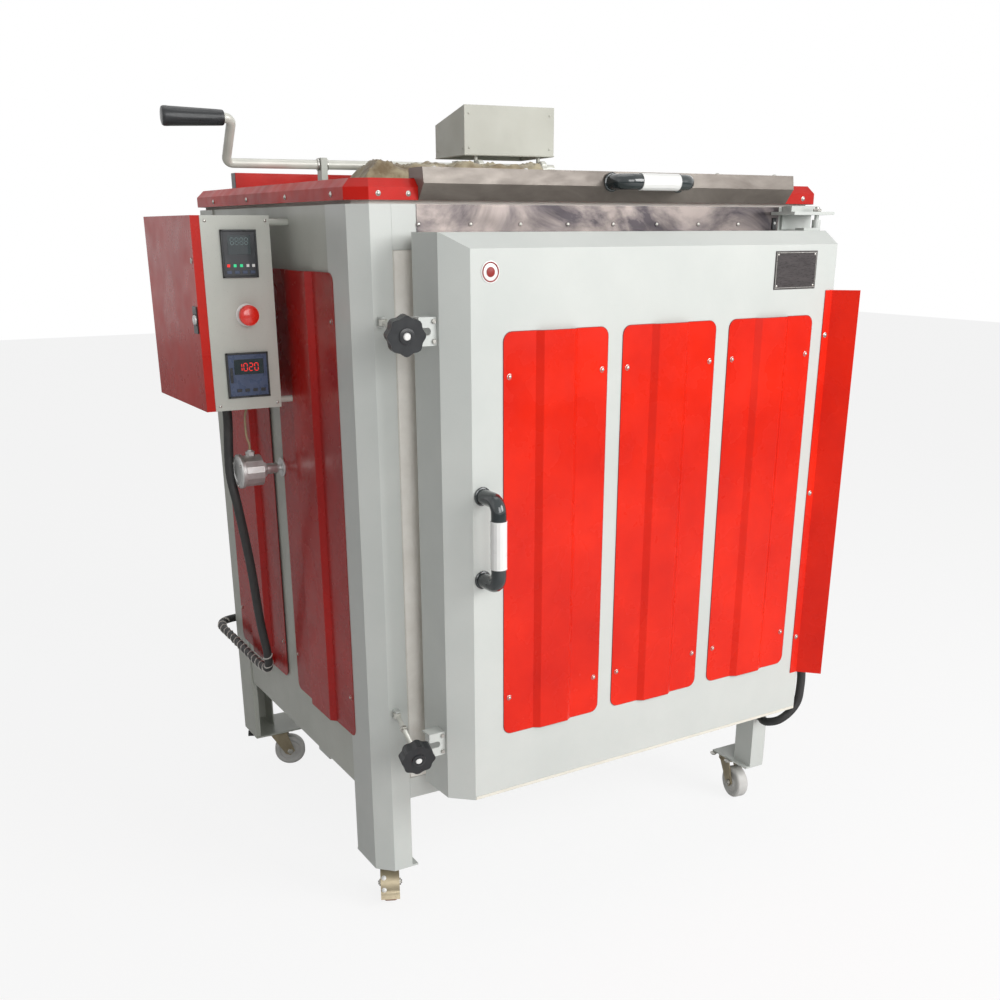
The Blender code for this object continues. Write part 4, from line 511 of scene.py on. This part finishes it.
ring = [(FACE_X + 0.0375 + 0.0148 * math.cos(math.tau * k / 40), FACE_Y - 0.0013,
         1.2554 + 0.0148 * math.sin(math.tau * k / 40)) for k in range(41)]
add_sweep(bm, ring, 0.0011, 6, ends=False)
piece("badge_ring", bm, "front_door", RED_EDGE, DOOR)
bm = bmesh.new()
add_lathe(bm, [(0.0080, 0.0), (0.0080, 0.0018), (0.0070, 0.0022), (0.0002, 0.0024)],
          (FACE_X + 0.0375, FACE_Y + 0.0001, 1.2554), (0, -1, 0), 40)
piece("badge_centre", bm, "front_door", RED_EDGE, DOOR)
bm = bmesh.new()
add_block(bm, FACE_X + 0.001, 0.9640, FACE_Y - 0.0006, FACE_Y + 0.0003, 0.3066, 0.3125)
piece("door_bottom_hem", bm, "front_door", CREAM, DOOR, 0.0003)
bm = bmesh.new()
for z in (1.1205, 0.4800, 0.8000):
    add_dome(bm, (FACE_X + 0.8225, FACE_Y - 0.0015, z), (0, -1, 0), 0.0038, 0.0026, 0.0052)
piece("wing_screws", bm, "front_door", SCREW, DOOR)


# Pull handles: the bent bar, its feet and the rings at the sleeve's ends
def bent(points, radius, steps=6):
    """Points along a bar whose corners are rounded to a radius."""
    points = [Vector(p) for p in points]
    out = [points[0]]
    for a, b, c in zip(points, points[1:], points[2:]):
        one, two = (a - b).normalized(), (c - b).normalized()
        half = one.angle(two) / 2
        middle = b + (one + two).normalized() * (radius / math.sin(half))
        first = (b + one * (radius / math.tan(half)) - middle).normalized()
        last = (b + two * (radius / math.tan(half)) - middle).normalized()
        out += [middle + first.slerp(last, k / steps) * radius for k in range(steps + 1)]
    return out + [points[-1]]


def dress_handle(name, at, along, out, body, place):
    """The thick black bar of a pull handle, its feet and the rings at the sleeve's ends."""
    at, along = Vector(at), Vector(along)
    forward = Vector((0.0, -1.0, 0.0))
    ends = [at + along * (sign * 0.075) for sign in (-1, 1)]
    route = [ends[0], ends[0] + forward * out, ends[1] + forward * out, ends[1]]
    bm = bmesh.new()
    add_sweep(bm, bent(route, 0.020), 0.0134, 24)
    bar = piece(name + "_bar", bm, body, BLACK_BAR, place)
    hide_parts(name)
    bm = bmesh.new()
    for end in ends:
        add_lathe(bm, [(0.0160, 0.0), (0.0164, 0.0008), (0.0164, 0.0022), (0.0156, 0.0030),
                       (0.0134, 0.0036)], end, forward, 32)
    piece(name + "_feet", bm, body, BLACK_BAR, place)
    bm = bmesh.new()
    for share in (-0.985, 0.985):
        middle = at + forward * out + along * (0.042 * share)
        add_lathe(bm, [(0.01455, -0.0008), (0.0148, -0.0004), (0.0148, 0.0004), (0.01455, 0.0008)],
                  middle, along, 32)
    piece(name + "_rings", bm, body, WHITE, place)


dress_handle("door_handle", (FACE_X + 0.0188, FACE_Y, 0.814), (0, 0, 1), 0.054, "front_door", DOOR)
dress_handle("lid_handle", (0.5705, -0.0263, 1.3990), (1, 0, 0), 0.041, "lid", OWN)

# Stainless band over the door: screws and the fold along its lower edge
bm = bmesh.new()
for k in range(8):
    add_dome(bm, (0.1186 + k * 0.1003, -0.0015, 1.328), (0, -1, 0), 0.0036, 0.0024)
piece("band_screws", bm, "kiln_body", SCREW)
bm = bmesh.new()
add_rod(bm, (0.1155, -0.0017, 1.2915), (0.925, -0.0017, 1.2915), 0.0010, 8)
piece("band_fold", bm, "kiln_body", STAINLESS_PAINTED_REFLECTION)


# White fibre that packs the gap round the door
def fibre_strip(name, x0, x1, y0, y1, z0, z1, steps, along):
    bm = bmesh.new()
    rings = []
    for k in range(steps + 1):
        t = k / steps
        loop = []
        for u, v in ((0, 1), (0.04, 0.35), (0.25, 0.0), (0.75, 0.0), (0.96, 0.35), (1, 1)):
            if along == "Z":
                spot = Vector((x0 + (x1 - x0) * u, 0.0, z0 + (z1 - z0) * t))
            else:
                spot = Vector((x0 + (x1 - x0) * t, 0.0, z0 + (z1 - z0) * u))
            rough = noise.noise(spot * 55.0) * 0.5 + noise.noise(spot * 160.0) * 0.25
            spot.y = min(y0 + (y1 - y0) * v + (1 - v) * 0.0015 * (rough + 0.35), y1)
            loop.append(bm.verts.new(spot))
        rings.append(loop)
    for low, high in zip(rings, rings[1:]):
        for a in range(6):
            b = (a + 1) % 6
            bm.faces.new((low[a], low[b], high[b], high[a]))
    bm.faces.new(rings[0][::-1])
    bm.faces.new(rings[-1])
    piece(name, bm, "kiln_body", FIBRE)


fibre_strip("seal_left", 0.0700, 0.1250, -0.0022, 0.0030, 0.302, 1.287, 180, "Z")
fibre_strip("seal_right", 0.9170, 0.9720, -0.0022, 0.0030, 0.302, 1.287, 180, "Z")

# Swing bolts: thread, nut and the knob's centre
for level, z, droop in (("upper", 1.1725, 5.0), ("lower", 0.4470, 15.0)):
    swing = about((0.0416, -0.012, 0.0), -9.0)
    way = Vector((0.0, -math.cos(math.radians(droop)), -math.sin(math.radians(droop))))
    at = Vector((0.0416, -0.012, z))
    bm = bmesh.new()
    thread = []
    for k in range(34):
        low = 0.052 + k * 0.0013
        thread += [(0.00405, low), (0.0046, low + 0.00065)]
    add_lathe(bm, thread + [(0.00405, 0.052 + 34 * 0.0013)], at, way, 16)
    thread = [(0.00405, 0.1185)]
    piece(f"bolt_thread_{level}", bm, f"bolt_{level}", ROD, swing)
    bm = bmesh.new()
    add_hex(bm, at + way * 0.041, way, 0.0078, 0.0075)
    piece(f"bolt_nut_{level}", bm, f"bolt_{level}", SCREW, swing)
    turn = swing @ Matrix.Translation(at) @ Matrix.Rotation(math.radians(droop), 4, "X") @ (
        Matrix.Translation(-at))
    bm = bmesh.new()
    front = Vector((0.0416, -0.012 - 0.118 - 0.022, z))
    add_lathe(bm, [(0.0135, -0.0004), (0.0130, 0.0016), (0.0090, 0.0028), (0.0068, 0.0028),
                   (0.0064, 0.0010)], front, (0, -1, 0), 32)
    rim = [(0.0040 + 0.0018, 0.0), (0.0058, 0.0006)]
    piece(f"knob_boss_{level}", bm, f"knob_{level}", BLACK, turn)
    bm = bmesh.new()
    add_lathe(bm, [(0.0062, 0.0004), (0.0062, 0.0016), (0.0048, 0.0030), (0.0006, 0.0034)],
              front, (0, -1, 0), 24)
    piece(f"knob_cap_{level}", bm, f"knob_{level}", WHITE, turn)

# Door catches: bolts that hold them on the door's side
bm = bmesh.new()
for z in (1.1632, 0.4186):
    for dz in (-0.016, 0.016):
        add_hex(bm, (0.0835, -0.0832, z + dz), (0, -1, 0), 0.0042, 0.0030)
piece("catch_bolts", bm, "front_door", SCREW, DOOR)

# Door hinges: pin heads, and the small black slot on the brackets with its white dot
for side, z in ((1, 1.316 + 0.029), (-1, 0.306 - 0.029)):
    word = "upper" if side > 0 else "lower"
    bm = bmesh.new()
    add_hex(bm, (0.982, -0.050, z + side * 0.006), (0, 0, side), 0.0085, 0.0055)
    add_rod(bm, (0.982, -0.050, z + side * 0.0115), (0.982, -0.050, z + side * 0.0150), 0.0045)
    piece(f"hinge_nut_{word}", bm, "kiln_body", SCREW)
bm = bmesh.new()
add_block(bm, 0.909, 0.919, -0.0042, -0.0016, 1.318, 1.340)
piece("latch_slot", bm, "kiln_body", BLACK, bevel=0.0006)
bm = bmesh.new()
add_dome(bm, (0.914, -0.0042, 1.330), (0, -1, 0), 0.0028, 0.0014)
piece("latch_dot", bm, "kiln_body", WHITE)

# Cabinet: controllers, button, lock, stud, screws and gland
CAB_FRONT = 0.2936


def digits(bm, x, z, height, pattern, face):
    """Seven-segment figures from short bars, all segments of an 8 unless left out."""
    wide = height * 0.5
    bar = height * 0.11
    spots = {"a": (0, 1, 1), "g": (0, 0.5, 1), "d": (0, 0, 1), "f": (0, 0.5, 0), "b": (1, 0.5, 0),
             "e": (0, 0, 0), "c": (1, 0, 0)}
    for n, on in enumerate(pattern):
        left = x + n * height * 0.78
        for key in on:
            u, v, flat = spots[key]
            if flat:
                add_block(bm, left + bar * 0.6, left + wide - bar * 0.6, face - 0.0003, face,
                          z + v * height - bar / 2, z + v * height + bar / 2)
            else:
                add_block(bm, left + u * wide - bar / 2, left + u * wide + bar / 2, face - 0.0003,
                          face, z + v * height + bar * 0.6, z + (v + 0.5) * height - bar * 0.6)


EIGHT, ZERO, TWO, ONE = "abcdefg", "abcdef", "abdeg", "bc"
for name, (x0, x1, z0, z1) in (("upper", (-0.1347, -0.0680, 1.2377, 1.3205)),
                               ("lower", (-0.1432, -0.0620, 1.0225, 1.1050))):
    y = CAB_FRONT - 0.0043
    wide, tall = x1 - x0, z1 - z0
    bm = bmesh.new()
    add_block(bm, x0 + 0.0035, x1 - 0.0035, y - 0.0006, y + 0.0002, z0 + 0.0035, z1 - 0.0035)
    piece(f"controller_face_{name}", bm, "kiln_body", FACE if name == "upper" else FACE_BLUE,
          bevel=0.0004)
    bm = bmesh.new()
    for a, b, c, d in ((x0, x1, z1 - 0.0035, z1), (x0, x1, z0, z0 + 0.0035),
                       (x0, x0 + 0.0035, z0, z1), (x1 - 0.0035, x1, z0, z1)):
        add_block(bm, a + 0.0002, b - 0.0002, y - 0.0016, y + 0.0002, c + 0.0002, d - 0.0002)
    piece(f"controller_bezel_{name}", bm, "kiln_body", BLACK, bevel=0.0004)
    bm = bmesh.new()
    if name == "upper":
        add_block(bm, x0 + 0.012, x1 - 0.012, y - 0.0012, y, z0 + tall * 0.48, z1 - 0.010)
    else:
        add_block(bm, x0 + 0.014, x1 - 0.010, y - 0.0012, y, z0 + tall * 0.52, z1 - 0.012)
    piece(f"controller_window_{name}", bm, "kiln_body", GLASS, bevel=0.0003)
    bm = bmesh.new()
    if name == "upper":
        digits(bm, x0 + 0.0170, z0 + tall * 0.69, 0.0115, (EIGHT, EIGHT, EIGHT, EIGHT), y - 0.0012)
        piece("digits_upper", bm, "kiln_body", DIM)
        for tint, look, spots in (("green", LED_GREEN, (0.34, 0.52)), ("red", LED_RED, (0.16,)),
                                  ("pale", WHITE, (0.70, 0.86))):
            bm = bmesh.new()
            for share in spots:
                x = x0 + wide * share
                add_block(bm, x - 0.0026, x + 0.0026, y - 0.0022, y - 0.0002, z0 + 0.0185,
                          z0 + 0.0235)
            piece("keys_upper_" + tint, bm, "kiln_body", look, bevel=0.0004)
        bm = bmesh.new()
        for k in range(4):
            x = x0 + wide * (0.17 + 0.22 * k)
            add_block(bm, x - 0.0045, x + 0.0045, y - 0.0018, y - 0.0002, z0 + 0.0070, z0 + 0.0125)
        piece("keys_upper_low", bm, "kiln_body", FACE_BLUE, bevel=0.0005)
    else:
        digits(bm, x0 + 0.0220, z0 + tall * 0.60, 0.0135, (ONE, ZERO, TWO, ZERO), y - 0.0012)
        piece("digits_lower", bm, "kiln_body", LED_RED)
        bm = bmesh.new()
        for k in range(4):
            x = x0 + wide * (0.26 + 0.19 * k)
            add_block(bm, x - 0.0045, x + 0.0045, y - 0.0020, y - 0.0002, z0 + 0.0110, z0 + 0.0165)
        add_block(bm, x0 + 0.0055, x0 + 0.0110, y - 0.0016, y - 0.0002, z0 + 0.028, z0 + 0.056)
        piece("keys_lower", bm, "kiln_body", BLACK, bevel=0.0005)

bm = bmesh.new()
button_y = CAB_FRONT - 0.005 - 0.004 - 0.0006
add_lathe(bm, [(0.0181, 0.0004), (0.0185, 0.0030), (0.0183, 0.0080), (0.0165, 0.0108),
               (0.0110, 0.0128), (0.0005, 0.0135)], (-0.096, button_y, 1.172), (0, -1, 0), 40)
piece("button_dome", bm, "push_button", BUTTON)
bm = bmesh.new()
add_lathe(bm, [(0.0200, 0.0), (0.0203, 0.0010), (0.0185, 0.0024), (0.0158, 0.0026)],
          (-0.096, CAB_FRONT + 0.0002, 1.172), (0, -1, 0), 40)
piece("button_ring", bm, "kiln_body", WHITE)

LEAF_X = -0.169 - GAP - 0.0167
bm = bmesh.new()
for dy0, dy1, dz0, dz1 in ((-0.012, 0.012, 0.0095, 0.024), (-0.012, 0.012, -0.024, -0.0095),
                           (-0.012, -0.0095, -0.0095, 0.0095), (0.0095, 0.012, -0.0095, 0.0095)):
    add_block(bm, LEAF_X - 0.0020, LEAF_X + 0.0002, 0.312 + dy0, 0.312 + dy1, 1.165 + dz0,
              1.165 + dz1)
piece("lock_plate", bm, "cabinet_door", BLACK, bevel=0.0006)
bm = bmesh.new()
add_lathe(bm, [(0.0094, 0.0), (0.0094, 0.0024), (0.0080, 0.0042), (0.0068, 0.0044)],
          (LEAF_X - 0.0004, 0.312, 1.165), (-1, 0, 0), 24)
add_block(bm, LEAF_X - 0.0062, LEAF_X - 0.0040, 0.3112, 0.3128, 1.161, 1.169)
piece("lock_face", bm, "cabinet_lock", CAST)
bm = bmesh.new()
add_lathe(bm, [(0.0052, 0.0), (0.0052, 0.0014), (0.0030, 0.0016), (0.0028, 0.0005)],
          (LEAF_X + 0.0001, 0.306, 1.268), (-1, 0, 0), 24)
piece("cabinet_stud", bm, "cabinet_door", SCREW)
bm = bmesh.new()
for x in (-0.160, -0.048):
    for z in (1.009, 1.3355):
        add_dome(bm, (x, CAB_FRONT, z), (0, -1, 0), 0.0030, 0.0018)
piece("cabinet_screws", bm, "kiln_body", SCREW)
bm = bmesh.new()
add_hex(bm, (-0.100, 0.454, 1.0001), (0, 0, -1), 0.0172, 0.0085)
add_lathe(bm, [(0.0145, 0.0155), (0.0150, 0.0120), (0.0150, 0.0090), (0.0160, 0.0082)],
          (-0.100, 0.454, 1.0), (0, 0, -1), 28)
piece("conduit_gland", bm, "kiln_body", BLACK)

# Thermocouple head: cap with its knurled edge, screws and neck nut
bm = bmesh.new()
add_lathe(bm, [(0.0330, 0.0), (0.0350, 0.0010), (0.0350, 0.0075), (0.0325, 0.0100),
               (0.0240, 0.0112), (0.0225, 0.0098), (0.0004, 0.0095)], (-0.0875, 0.4225, 0.857),
          (-1, 0, 0), 48, lambda r, a, h: r - (0.0007 if math.cos(24 * a) > 0 and r > 0.034 else 0))
piece("sensor_cap", bm, "kiln_body", CAST)
bm = bmesh.new()
add_hex(bm, (-0.0502, 0.4225, 0.857), (1, 0, 0), 0.0165, 0.012)
add_lathe(bm, [(0.0110, 0.0), (0.0110, 0.0230), (0.0085, 0.0270)], (-0.0390, 0.4225, 0.857),
          (1, 0, 0), 24)
add_lathe(bm, [(0.0190, 0.0), (0.0200, 0.0010), (0.0200, 0.0034), (0.0185, 0.0045)],
          (-0.0052, 0.4225, 0.857), (1, 0, 0), 32)
add_hex(bm, (-0.069, 0.4225, 0.887), (0, 0, 1), 0.0095, 0.0095)
piece("sensor_neck", bm, "kiln_body", CAST)
bm = bmesh.new()
for k in range(3):
    angle = math.tau * k / 3 + 0.5
    add_dome(bm, (-0.0987, 0.4225 + 0.0285 * math.cos(angle), 0.857 + 0.0285 * math.sin(angle)),
             (-1, 0, 0), 0.0030, 0.0018)
piece("sensor_screws", bm, "kiln_body", SCREW)

# Lid: bolts along the front edge and sides, the bar's black end and screws on the trim
bm = bmesh.new()
for x, z in ((0.045, 1.3760), (0.100, 1.3760), (0.985, 1.3760)):
    add_dome(bm, (x, -0.0041, z), (0, -1, 0), 0.0034, 0.0022, 0.0046)
for y in (0.080, 0.300, 0.520, 0.740):
    add_dome(bm, (-0.0041, y, 1.3755), (-1, 0, 0), 0.0034, 0.0022, 0.0046)
    add_dome(bm, (BODY_W + 0.0041, y, 1.3755), (1, 0, 0), 0.0034, 0.0022, 0.0046)
piece("lid_bolts", bm, "lid", SCREW)
bm = bmesh.new()
add_block(bm, 0.0692, 0.0702, 0.8055, 0.8325, 1.4010, 1.4365)
piece("lid_bar_end", bm, "lid", BLACK, bevel=0.0004)
bm = bmesh.new()
for x in (0.150, 0.330, 0.760, 0.905):
    add_dome(bm, (x, -0.0020, 1.4170), (0, 0, 1), 0.0042, 0.0024, 0.0060)
piece("trim_screws", bm, "lid", SCREW)

# Plates that close the trim's two ends, outside the lid's frame
section = [(-0.0043, 1.3670), (-0.0255, 1.3920), (-0.0215, 1.4165), (0.0295, 1.4165),
           (0.0295, 1.4010), (0.0100, 1.4010), (-0.0043, 1.3870)]
bm = bmesh.new()
for x in (0.1182, 0.9358):
    add_plate(bm, [(x, y, z) for y, z in section], -0.0010)
piece("trim_ends", bm, "lid", TRIM)

# Vent cap: folded rim and rivets
CAP = (0.4237, 0.6272, 0.4413, 0.6033)
bm = bmesh.new()
x0, x1, y0, y1 = CAP
for a, b in (((x0, y0), (x1, y0)), ((x1, y0), (x1, y1)), ((x1, y1), (x0, y1)), ((x0, y1), (x0, y0))):
    add_rod(bm, (*a, 1.4632), (*b, 1.4632), 0.0014, 8)
piece("cap_rim", bm, "vent_cap", GREY_VENT, VENT)
bm = bmesh.new()
for x in (x0 + 0.010, x1 - 0.010):
    for z in (1.476, 1.540):
        add_dome(bm, (x, y0, z), (0, -1, 0), 0.0026, 0.0014)
for y in (y0 + 0.012, y1 - 0.012):
    for x, out in ((x0, -1), (x1, 1)):
        add_dome(bm, (x, y, 1.476), (out, 0, 0), 0.0026, 0.0014)
piece("cap_rivets", bm, "vent_cap", GREY_VENT, VENT)

# Crank: its bar with the pinions under the cap, thin collars beside the bearings, and the grip
ELBOW = Vector((-0.067, 0.435, 1.438))
rise = math.radians(48.0)
tip = ELBOW + Vector((0.0, -0.106 * math.sin(rise), 0.106 * math.cos(rise)))
bm = bmesh.new()
add_sweep(bm, bent([ELBOW + Vector((0.690, 0.0, 0.0)), ELBOW, tip, tip - Vector((0.110, 0.0, 0.0))],
                   0.014), 0.0086, 20)
for x in (0.4907 + 0.030, 0.4907 + 0.2035 - 0.030):
    add_lathe(bm, [(0.0140, -0.006), (0.0153, -0.005), (0.0153, 0.005), (0.0140, 0.006)],
              ELBOW + Vector((x, 0.0, 0.0)), (1, 0, 0), 32,
              lambda r, a, h: r - (0.0012 if math.cos(16 * a) > 0.2 else 0.0))
bar = piece("crank_bar", bm, "crank", ROD, VENT)
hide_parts("crank")
bm = bmesh.new()
for x in (0.187 - 0.0090, 0.187 + 0.0090, 0.472 - 0.0090, 0.472 + 0.0090):
    add_lathe(bm, [(0.0104, -0.0018), (0.0110, -0.0012), (0.0110, 0.0012), (0.0104, 0.0018)],
              ELBOW + Vector((x, 0.0, 0.0)), (1, 0, 0), 24)
piece("crank_collars", bm, "crank", SCREW, VENT)
profile = [(0.0100, 0.0), (0.0122, 0.0010), (0.0132, 0.0035), (0.0134, 0.0080)]
for k in range(9):
    low = 0.012 + k * 0.0105
    profile.append((0.0136 + 0.00034 * k, low))
profile += [(0.0168, 0.102), (0.0166, 0.1065), (0.0152, 0.1095), (0.0120, 0.1105)]
bm = bmesh.new()
add_lathe(bm, profile, tip - Vector((0.0140, 0.0, 0.0)), (-1, 0, 0), 48,
          lambda r, a, h: r - (0.0005 if math.cos(10 * a) > 0.5 and 0.014 < h < 0.094 else 0))
grip = piece("grip_fluted", bm, "crank_grip", BLACK, VENT)
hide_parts("crank_grip")

# Fibre blanket beside the vent: a torn, lumpy pad in the place of its plain solid
low, high = Vector((0.158, 0.305, 1.3983)), Vector((0.573, 0.417, 1.4480))
bm = bmesh.new()
NX, NY = 90, 26
grid = []
for i in range(NX + 1):
    column = []
    for j in range(NY + 1):
        u, v = i / NX, j / NY
        spot = Vector((low.x + (high.x - low.x) * u, low.y + (high.y - low.y) * v, 0.0))
        edge = min(u, 1 - u) * 10
        edge = min(edge, min(v, 1 - v) * 5, 1.0)
        rough = (noise.noise(spot * 22.0) * 0.45 + noise.noise(spot * 60.0) * 0.30
                 + noise.noise(spot * 150.0) * 0.18)
        tall = (0.80 + 0.45 * rough) * math.sqrt(max(edge, 0.0))
        spot.x += 0.004 * noise.noise(spot * 40.0) * (1 if 0 < i < NX else 0)
        spot.z = low.z + max(0.0015, min(tall, 1.0) * (high.z - low.z))
        column.append(bm.verts.new(spot))
    grid.append(column)
for i in range(NX):
    for j in range(NY):
        bm.faces.new((grid[i][j], grid[i + 1][j], grid[i + 1][j + 1], grid[i][j + 1]))
rim = ([grid[i][0] for i in range(NX + 1)] + [grid[NX][j] for j in range(1, NY + 1)]
       + [grid[i][NY] for i in range(NX - 1, -1, -1)] + [grid[0][j] for j in range(NY - 1, 0, -1)])
under = [bm.verts.new((v.co.x, v.co.y, low.z)) for v in rim]
for k in range(len(rim)):
    n = (k + 1) % len(rim)
    bm.faces.new((rim[k], rim[n], under[n], under[k]))
bm.faces.new(under)
pad = piece("blanket_torn", bm, "lid", WOOL, VENT)
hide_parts("fibre_blanket")

# Casters: plate bolts, ball race, axle nuts, fork rims and wheels with hubs
for corner, (x, y) in RACES.items():
    bm = bmesh.new()
    front = corner.startswith("front")
    for dx in (-0.030, 0.030):
        for dy in (-0.026, 0.026):
            if 0.012 < x + dx < BODY_W - 0.012:
                add_hex(bm, (x + dx, y + dy, 0.1002), (0, 0, -1), 0.0062, 0.0050)
                add_lathe(bm, [(0.0085, -0.0002), (0.0085, 0.0012), (0.0080, 0.0014)],
                          (x + dx, y + dy, 0.1002), (0, 0, -1), 20)
    piece("plate_bolts_" + corner, bm, "kiln_body", SCREW)
    bm = bmesh.new()
    add_lathe(bm, [(0.0250, 0.0), (0.0262, 0.0010), (0.0268, 0.0030), (0.0255, 0.0052),
                   (0.0250, 0.0060)], (x, y, 0.0995), (0, 0, -1), 40)
    piece("race_" + corner, bm, "kiln_body", ZINC)
    place = CASTER[corner]
    axle = Vector((x + 0.030, y, 0.039))
    bm = bmesh.new()
    for side in (-1, 1):
        start = axle + Vector((0.0, side * (0.014 + 0.0015 + 0.0025), 0.0))
        add_hex(bm, start, (0, side, 0), 0.0075, 0.0045)
        add_rod(bm, start + Vector((0.0, side * 0.0044, 0.0)), start + Vector((0.0, side * 0.0070, 0.0)),
                0.0040, 12)
    piece("axle_nuts_" + corner, bm, "caster_" + corner, SCREW, place)
    bm = bmesh.new()
    add_lathe(bm, [(0.0252, 0.0), (0.0262, 0.0006), (0.0262, 0.0034), (0.0250, 0.0040)],
              (x, y, 0.0925), (0, 0, -1), 40)
    piece("fork_rim_" + corner, bm, "caster_" + corner, ZINC, place)
    bm = bmesh.new()
    half = 0.014
    rounding = [(0.0388 - 0.0055 * (1 - math.cos(t)), half - 0.0052 * (1 - math.sin(t)) - 0.0001)
                for t in (math.pi / 2 - k * math.pi / 10 for k in range(6))]
    outline = [(0.0046, half), (0.0120, half), (0.0128, half - 0.0016), (0.0150, half - 0.0030),
               (0.0250, half - 0.0034), (0.0275, half - 0.0010), (0.0300, half)]
    outline += [(r, h) for r, h in rounding]
    mirror = [(r, -h) for r, h in reversed(outline)]
    add_lathe(bm, outline + mirror, axle, (0, 1, 0), 48)
    wheel = piece("wheel_round_" + corner, bm, "wheel_" + corner,
                  TREAD if corner == "front_left" else WHEEL, place)
    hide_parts("wheel_" + corner)

# Sheet guard over the front-left wheel, with its lip and two bolts
x, y = RACES["front_left"]
bm = bmesh.new()
rows = []
for k in range(19):
    angle = math.radians(78.0 - 5.0 * k)
    reach = 0.0405 + (0.0035 * (k - 15) if k > 15 else 0.0)
    for thick in (0.0, 0.0014):
        rows.append([(x + 0.030 + (reach + thick) * math.cos(angle), y + side * 0.0195,
                      0.039 + (reach + thick) * math.sin(angle)) for side in (-1, 1)])
ring = [bm.verts.new(rows[2 * k][0]) for k in range(19)]
over = [bm.verts.new(rows[2 * k + 1][0]) for k in range(19)]
ring_far = [bm.verts.new(rows[2 * k][1]) for k in range(19)]
over_far = [bm.verts.new(rows[2 * k + 1][1]) for k in range(19)]
for k in range(18):
    for a, b in ((ring, over), (over, over_far), (over_far, ring_far), (ring_far, ring)):
        bm.faces.new((a[k], a[k + 1], b[k + 1], b[k]))
for k in (0, 18):
    bm.faces.new((ring[k], over[k], over_far[k], ring_far[k]))
piece("wheel_guard", bm, "caster_front_left", ZINC, CASTER["front_left"])
bm = bmesh.new()
for angle in (0.75, 0.15):
    spot = Vector((x + 0.030 + 0.0418 * math.cos(angle), y - 0.0125, 0.039 + 0.0418 * math.sin(angle)))
    add_dome(bm, spot, (math.cos(angle), 0.0, math.sin(angle)), 0.0042, 0.0030, 0.0052)
piece("guard_bolts", bm, "caster_front_left", WHITE, CASTER["front_left"])

# Floor and backdrop
stage_look = bpy.data.materials.new("pale_floor")
stage_look.use_nodes = True
tree = stage_look.node_tree
shader = tree.nodes["Principled BSDF"]
shader.inputs["Base Color"].default_value = (0.86, 0.86, 0.86, 1.0)
shader.inputs["Roughness"].default_value = 0.7
shader.inputs["Specular IOR Level"].default_value = 0.2
paper = tree.nodes.new("ShaderNodeEmission")
path = tree.nodes.new("ShaderNodeLightPath")
share = tree.nodes.new("ShaderNodeMath")
share.operation = "MULTIPLY"
share.inputs[1].default_value = 0.85
mix = tree.nodes.new("ShaderNodeMixShader")
tree.links.new(path.outputs["Is Camera Ray"], share.inputs[0])
tree.links.new(share.outputs["Value"], mix.inputs["Fac"])
tree.links.new(shader.outputs["BSDF"], mix.inputs[1])
tree.links.new(paper.outputs["Emission"], mix.inputs[2])
tree.links.new(mix.outputs["Shader"], tree.nodes["Material Output"].inputs["Surface"])
bm = bmesh.new()
bmesh.ops.create_grid(bm, x_segments=1, y_segments=1, size=14.0)
mesh = bpy.data.meshes.new("floor")
bm.to_mesh(mesh)
bm.free()
mesh.materials.append(stage_look)
floor = bpy.data.objects.new("floor", mesh)
scene.collection.objects.link(floor)

world = bpy.data.worlds.new("studio")
scene.world = world
world.use_nodes = True
tree = world.node_tree
tree.nodes.clear()
out = tree.nodes.new("ShaderNodeOutputWorld")
ambient = tree.nodes.new("ShaderNodeBackground")
ambient.inputs["Color"].default_value = (1.0, 1.0, 1.0, 1.0)
ambient.inputs["Strength"].default_value = 0.25
seen = tree.nodes.new("ShaderNodeBackground")
seen.inputs["Color"].default_value = (1.0, 1.0, 1.0, 1.0)
seen.inputs["Strength"].default_value = 1.0
path = tree.nodes.new("ShaderNodeLightPath")
shown = tree.nodes.new("ShaderNodeMath")
shown.operation = "MAXIMUM"
both = tree.nodes.new("ShaderNodeMath")
both.operation = "MAXIMUM"
blend = tree.nodes.new("ShaderNodeMixShader")
tree.links.new(path.outputs["Is Camera Ray"], shown.inputs[0])
tree.links.new(path.outputs["Is Glossy Ray"], shown.inputs[1])
tree.links.new(shown.outputs["Value"], both.inputs[0])
tree.links.new(path.outputs["Is Transmission Ray"], both.inputs[1])
tree.links.new(both.outputs["Value"], blend.inputs["Fac"])
tree.links.new(ambient.outputs["Background"], blend.inputs[1])
tree.links.new(seen.outputs["Background"], blend.inputs[2])
tree.links.new(blend.outputs["Shader"], out.inputs["Surface"])


def lamp(name, at, aim, size, watts, colour=(1.0, 1.0, 1.0)):
    data = bpy.data.lights.new(name, "AREA")
    data.shape = "RECTANGLE"
    data.size, data.size_y = size
    data.energy = watts
    data.color = colour
    obj = bpy.data.objects.new(name, data)
    scene.collection.objects.link(obj)
    at, aim = OWN @ Vector(at), OWN @ Vector(aim)
    obj.location = at
    obj.rotation_mode = "QUATERNION"
    obj.rotation_quaternion = (aim - at).to_track_quat("-Z", "Y")


lamp("key", (2.6, -3.6, 2.6), (0.5, 0.0, 0.8), (2.2, 2.2), 125.0)
lamp("front", (-0.2, -4.2, 2.2), (0.5, 0.0, 0.7), (2.6, 2.0), 75.0)
lamp("side", (-3.4, 0.2, 2.4), (0.0, 0.5, 0.8), (1.6, 2.4), 5.0)
lamp("top", (0.5, 0.6, 4.2), (0.5, 0.4, 1.3), (2.4, 2.4), 20.0)

scene.view_settings.view_transform = "Standard"
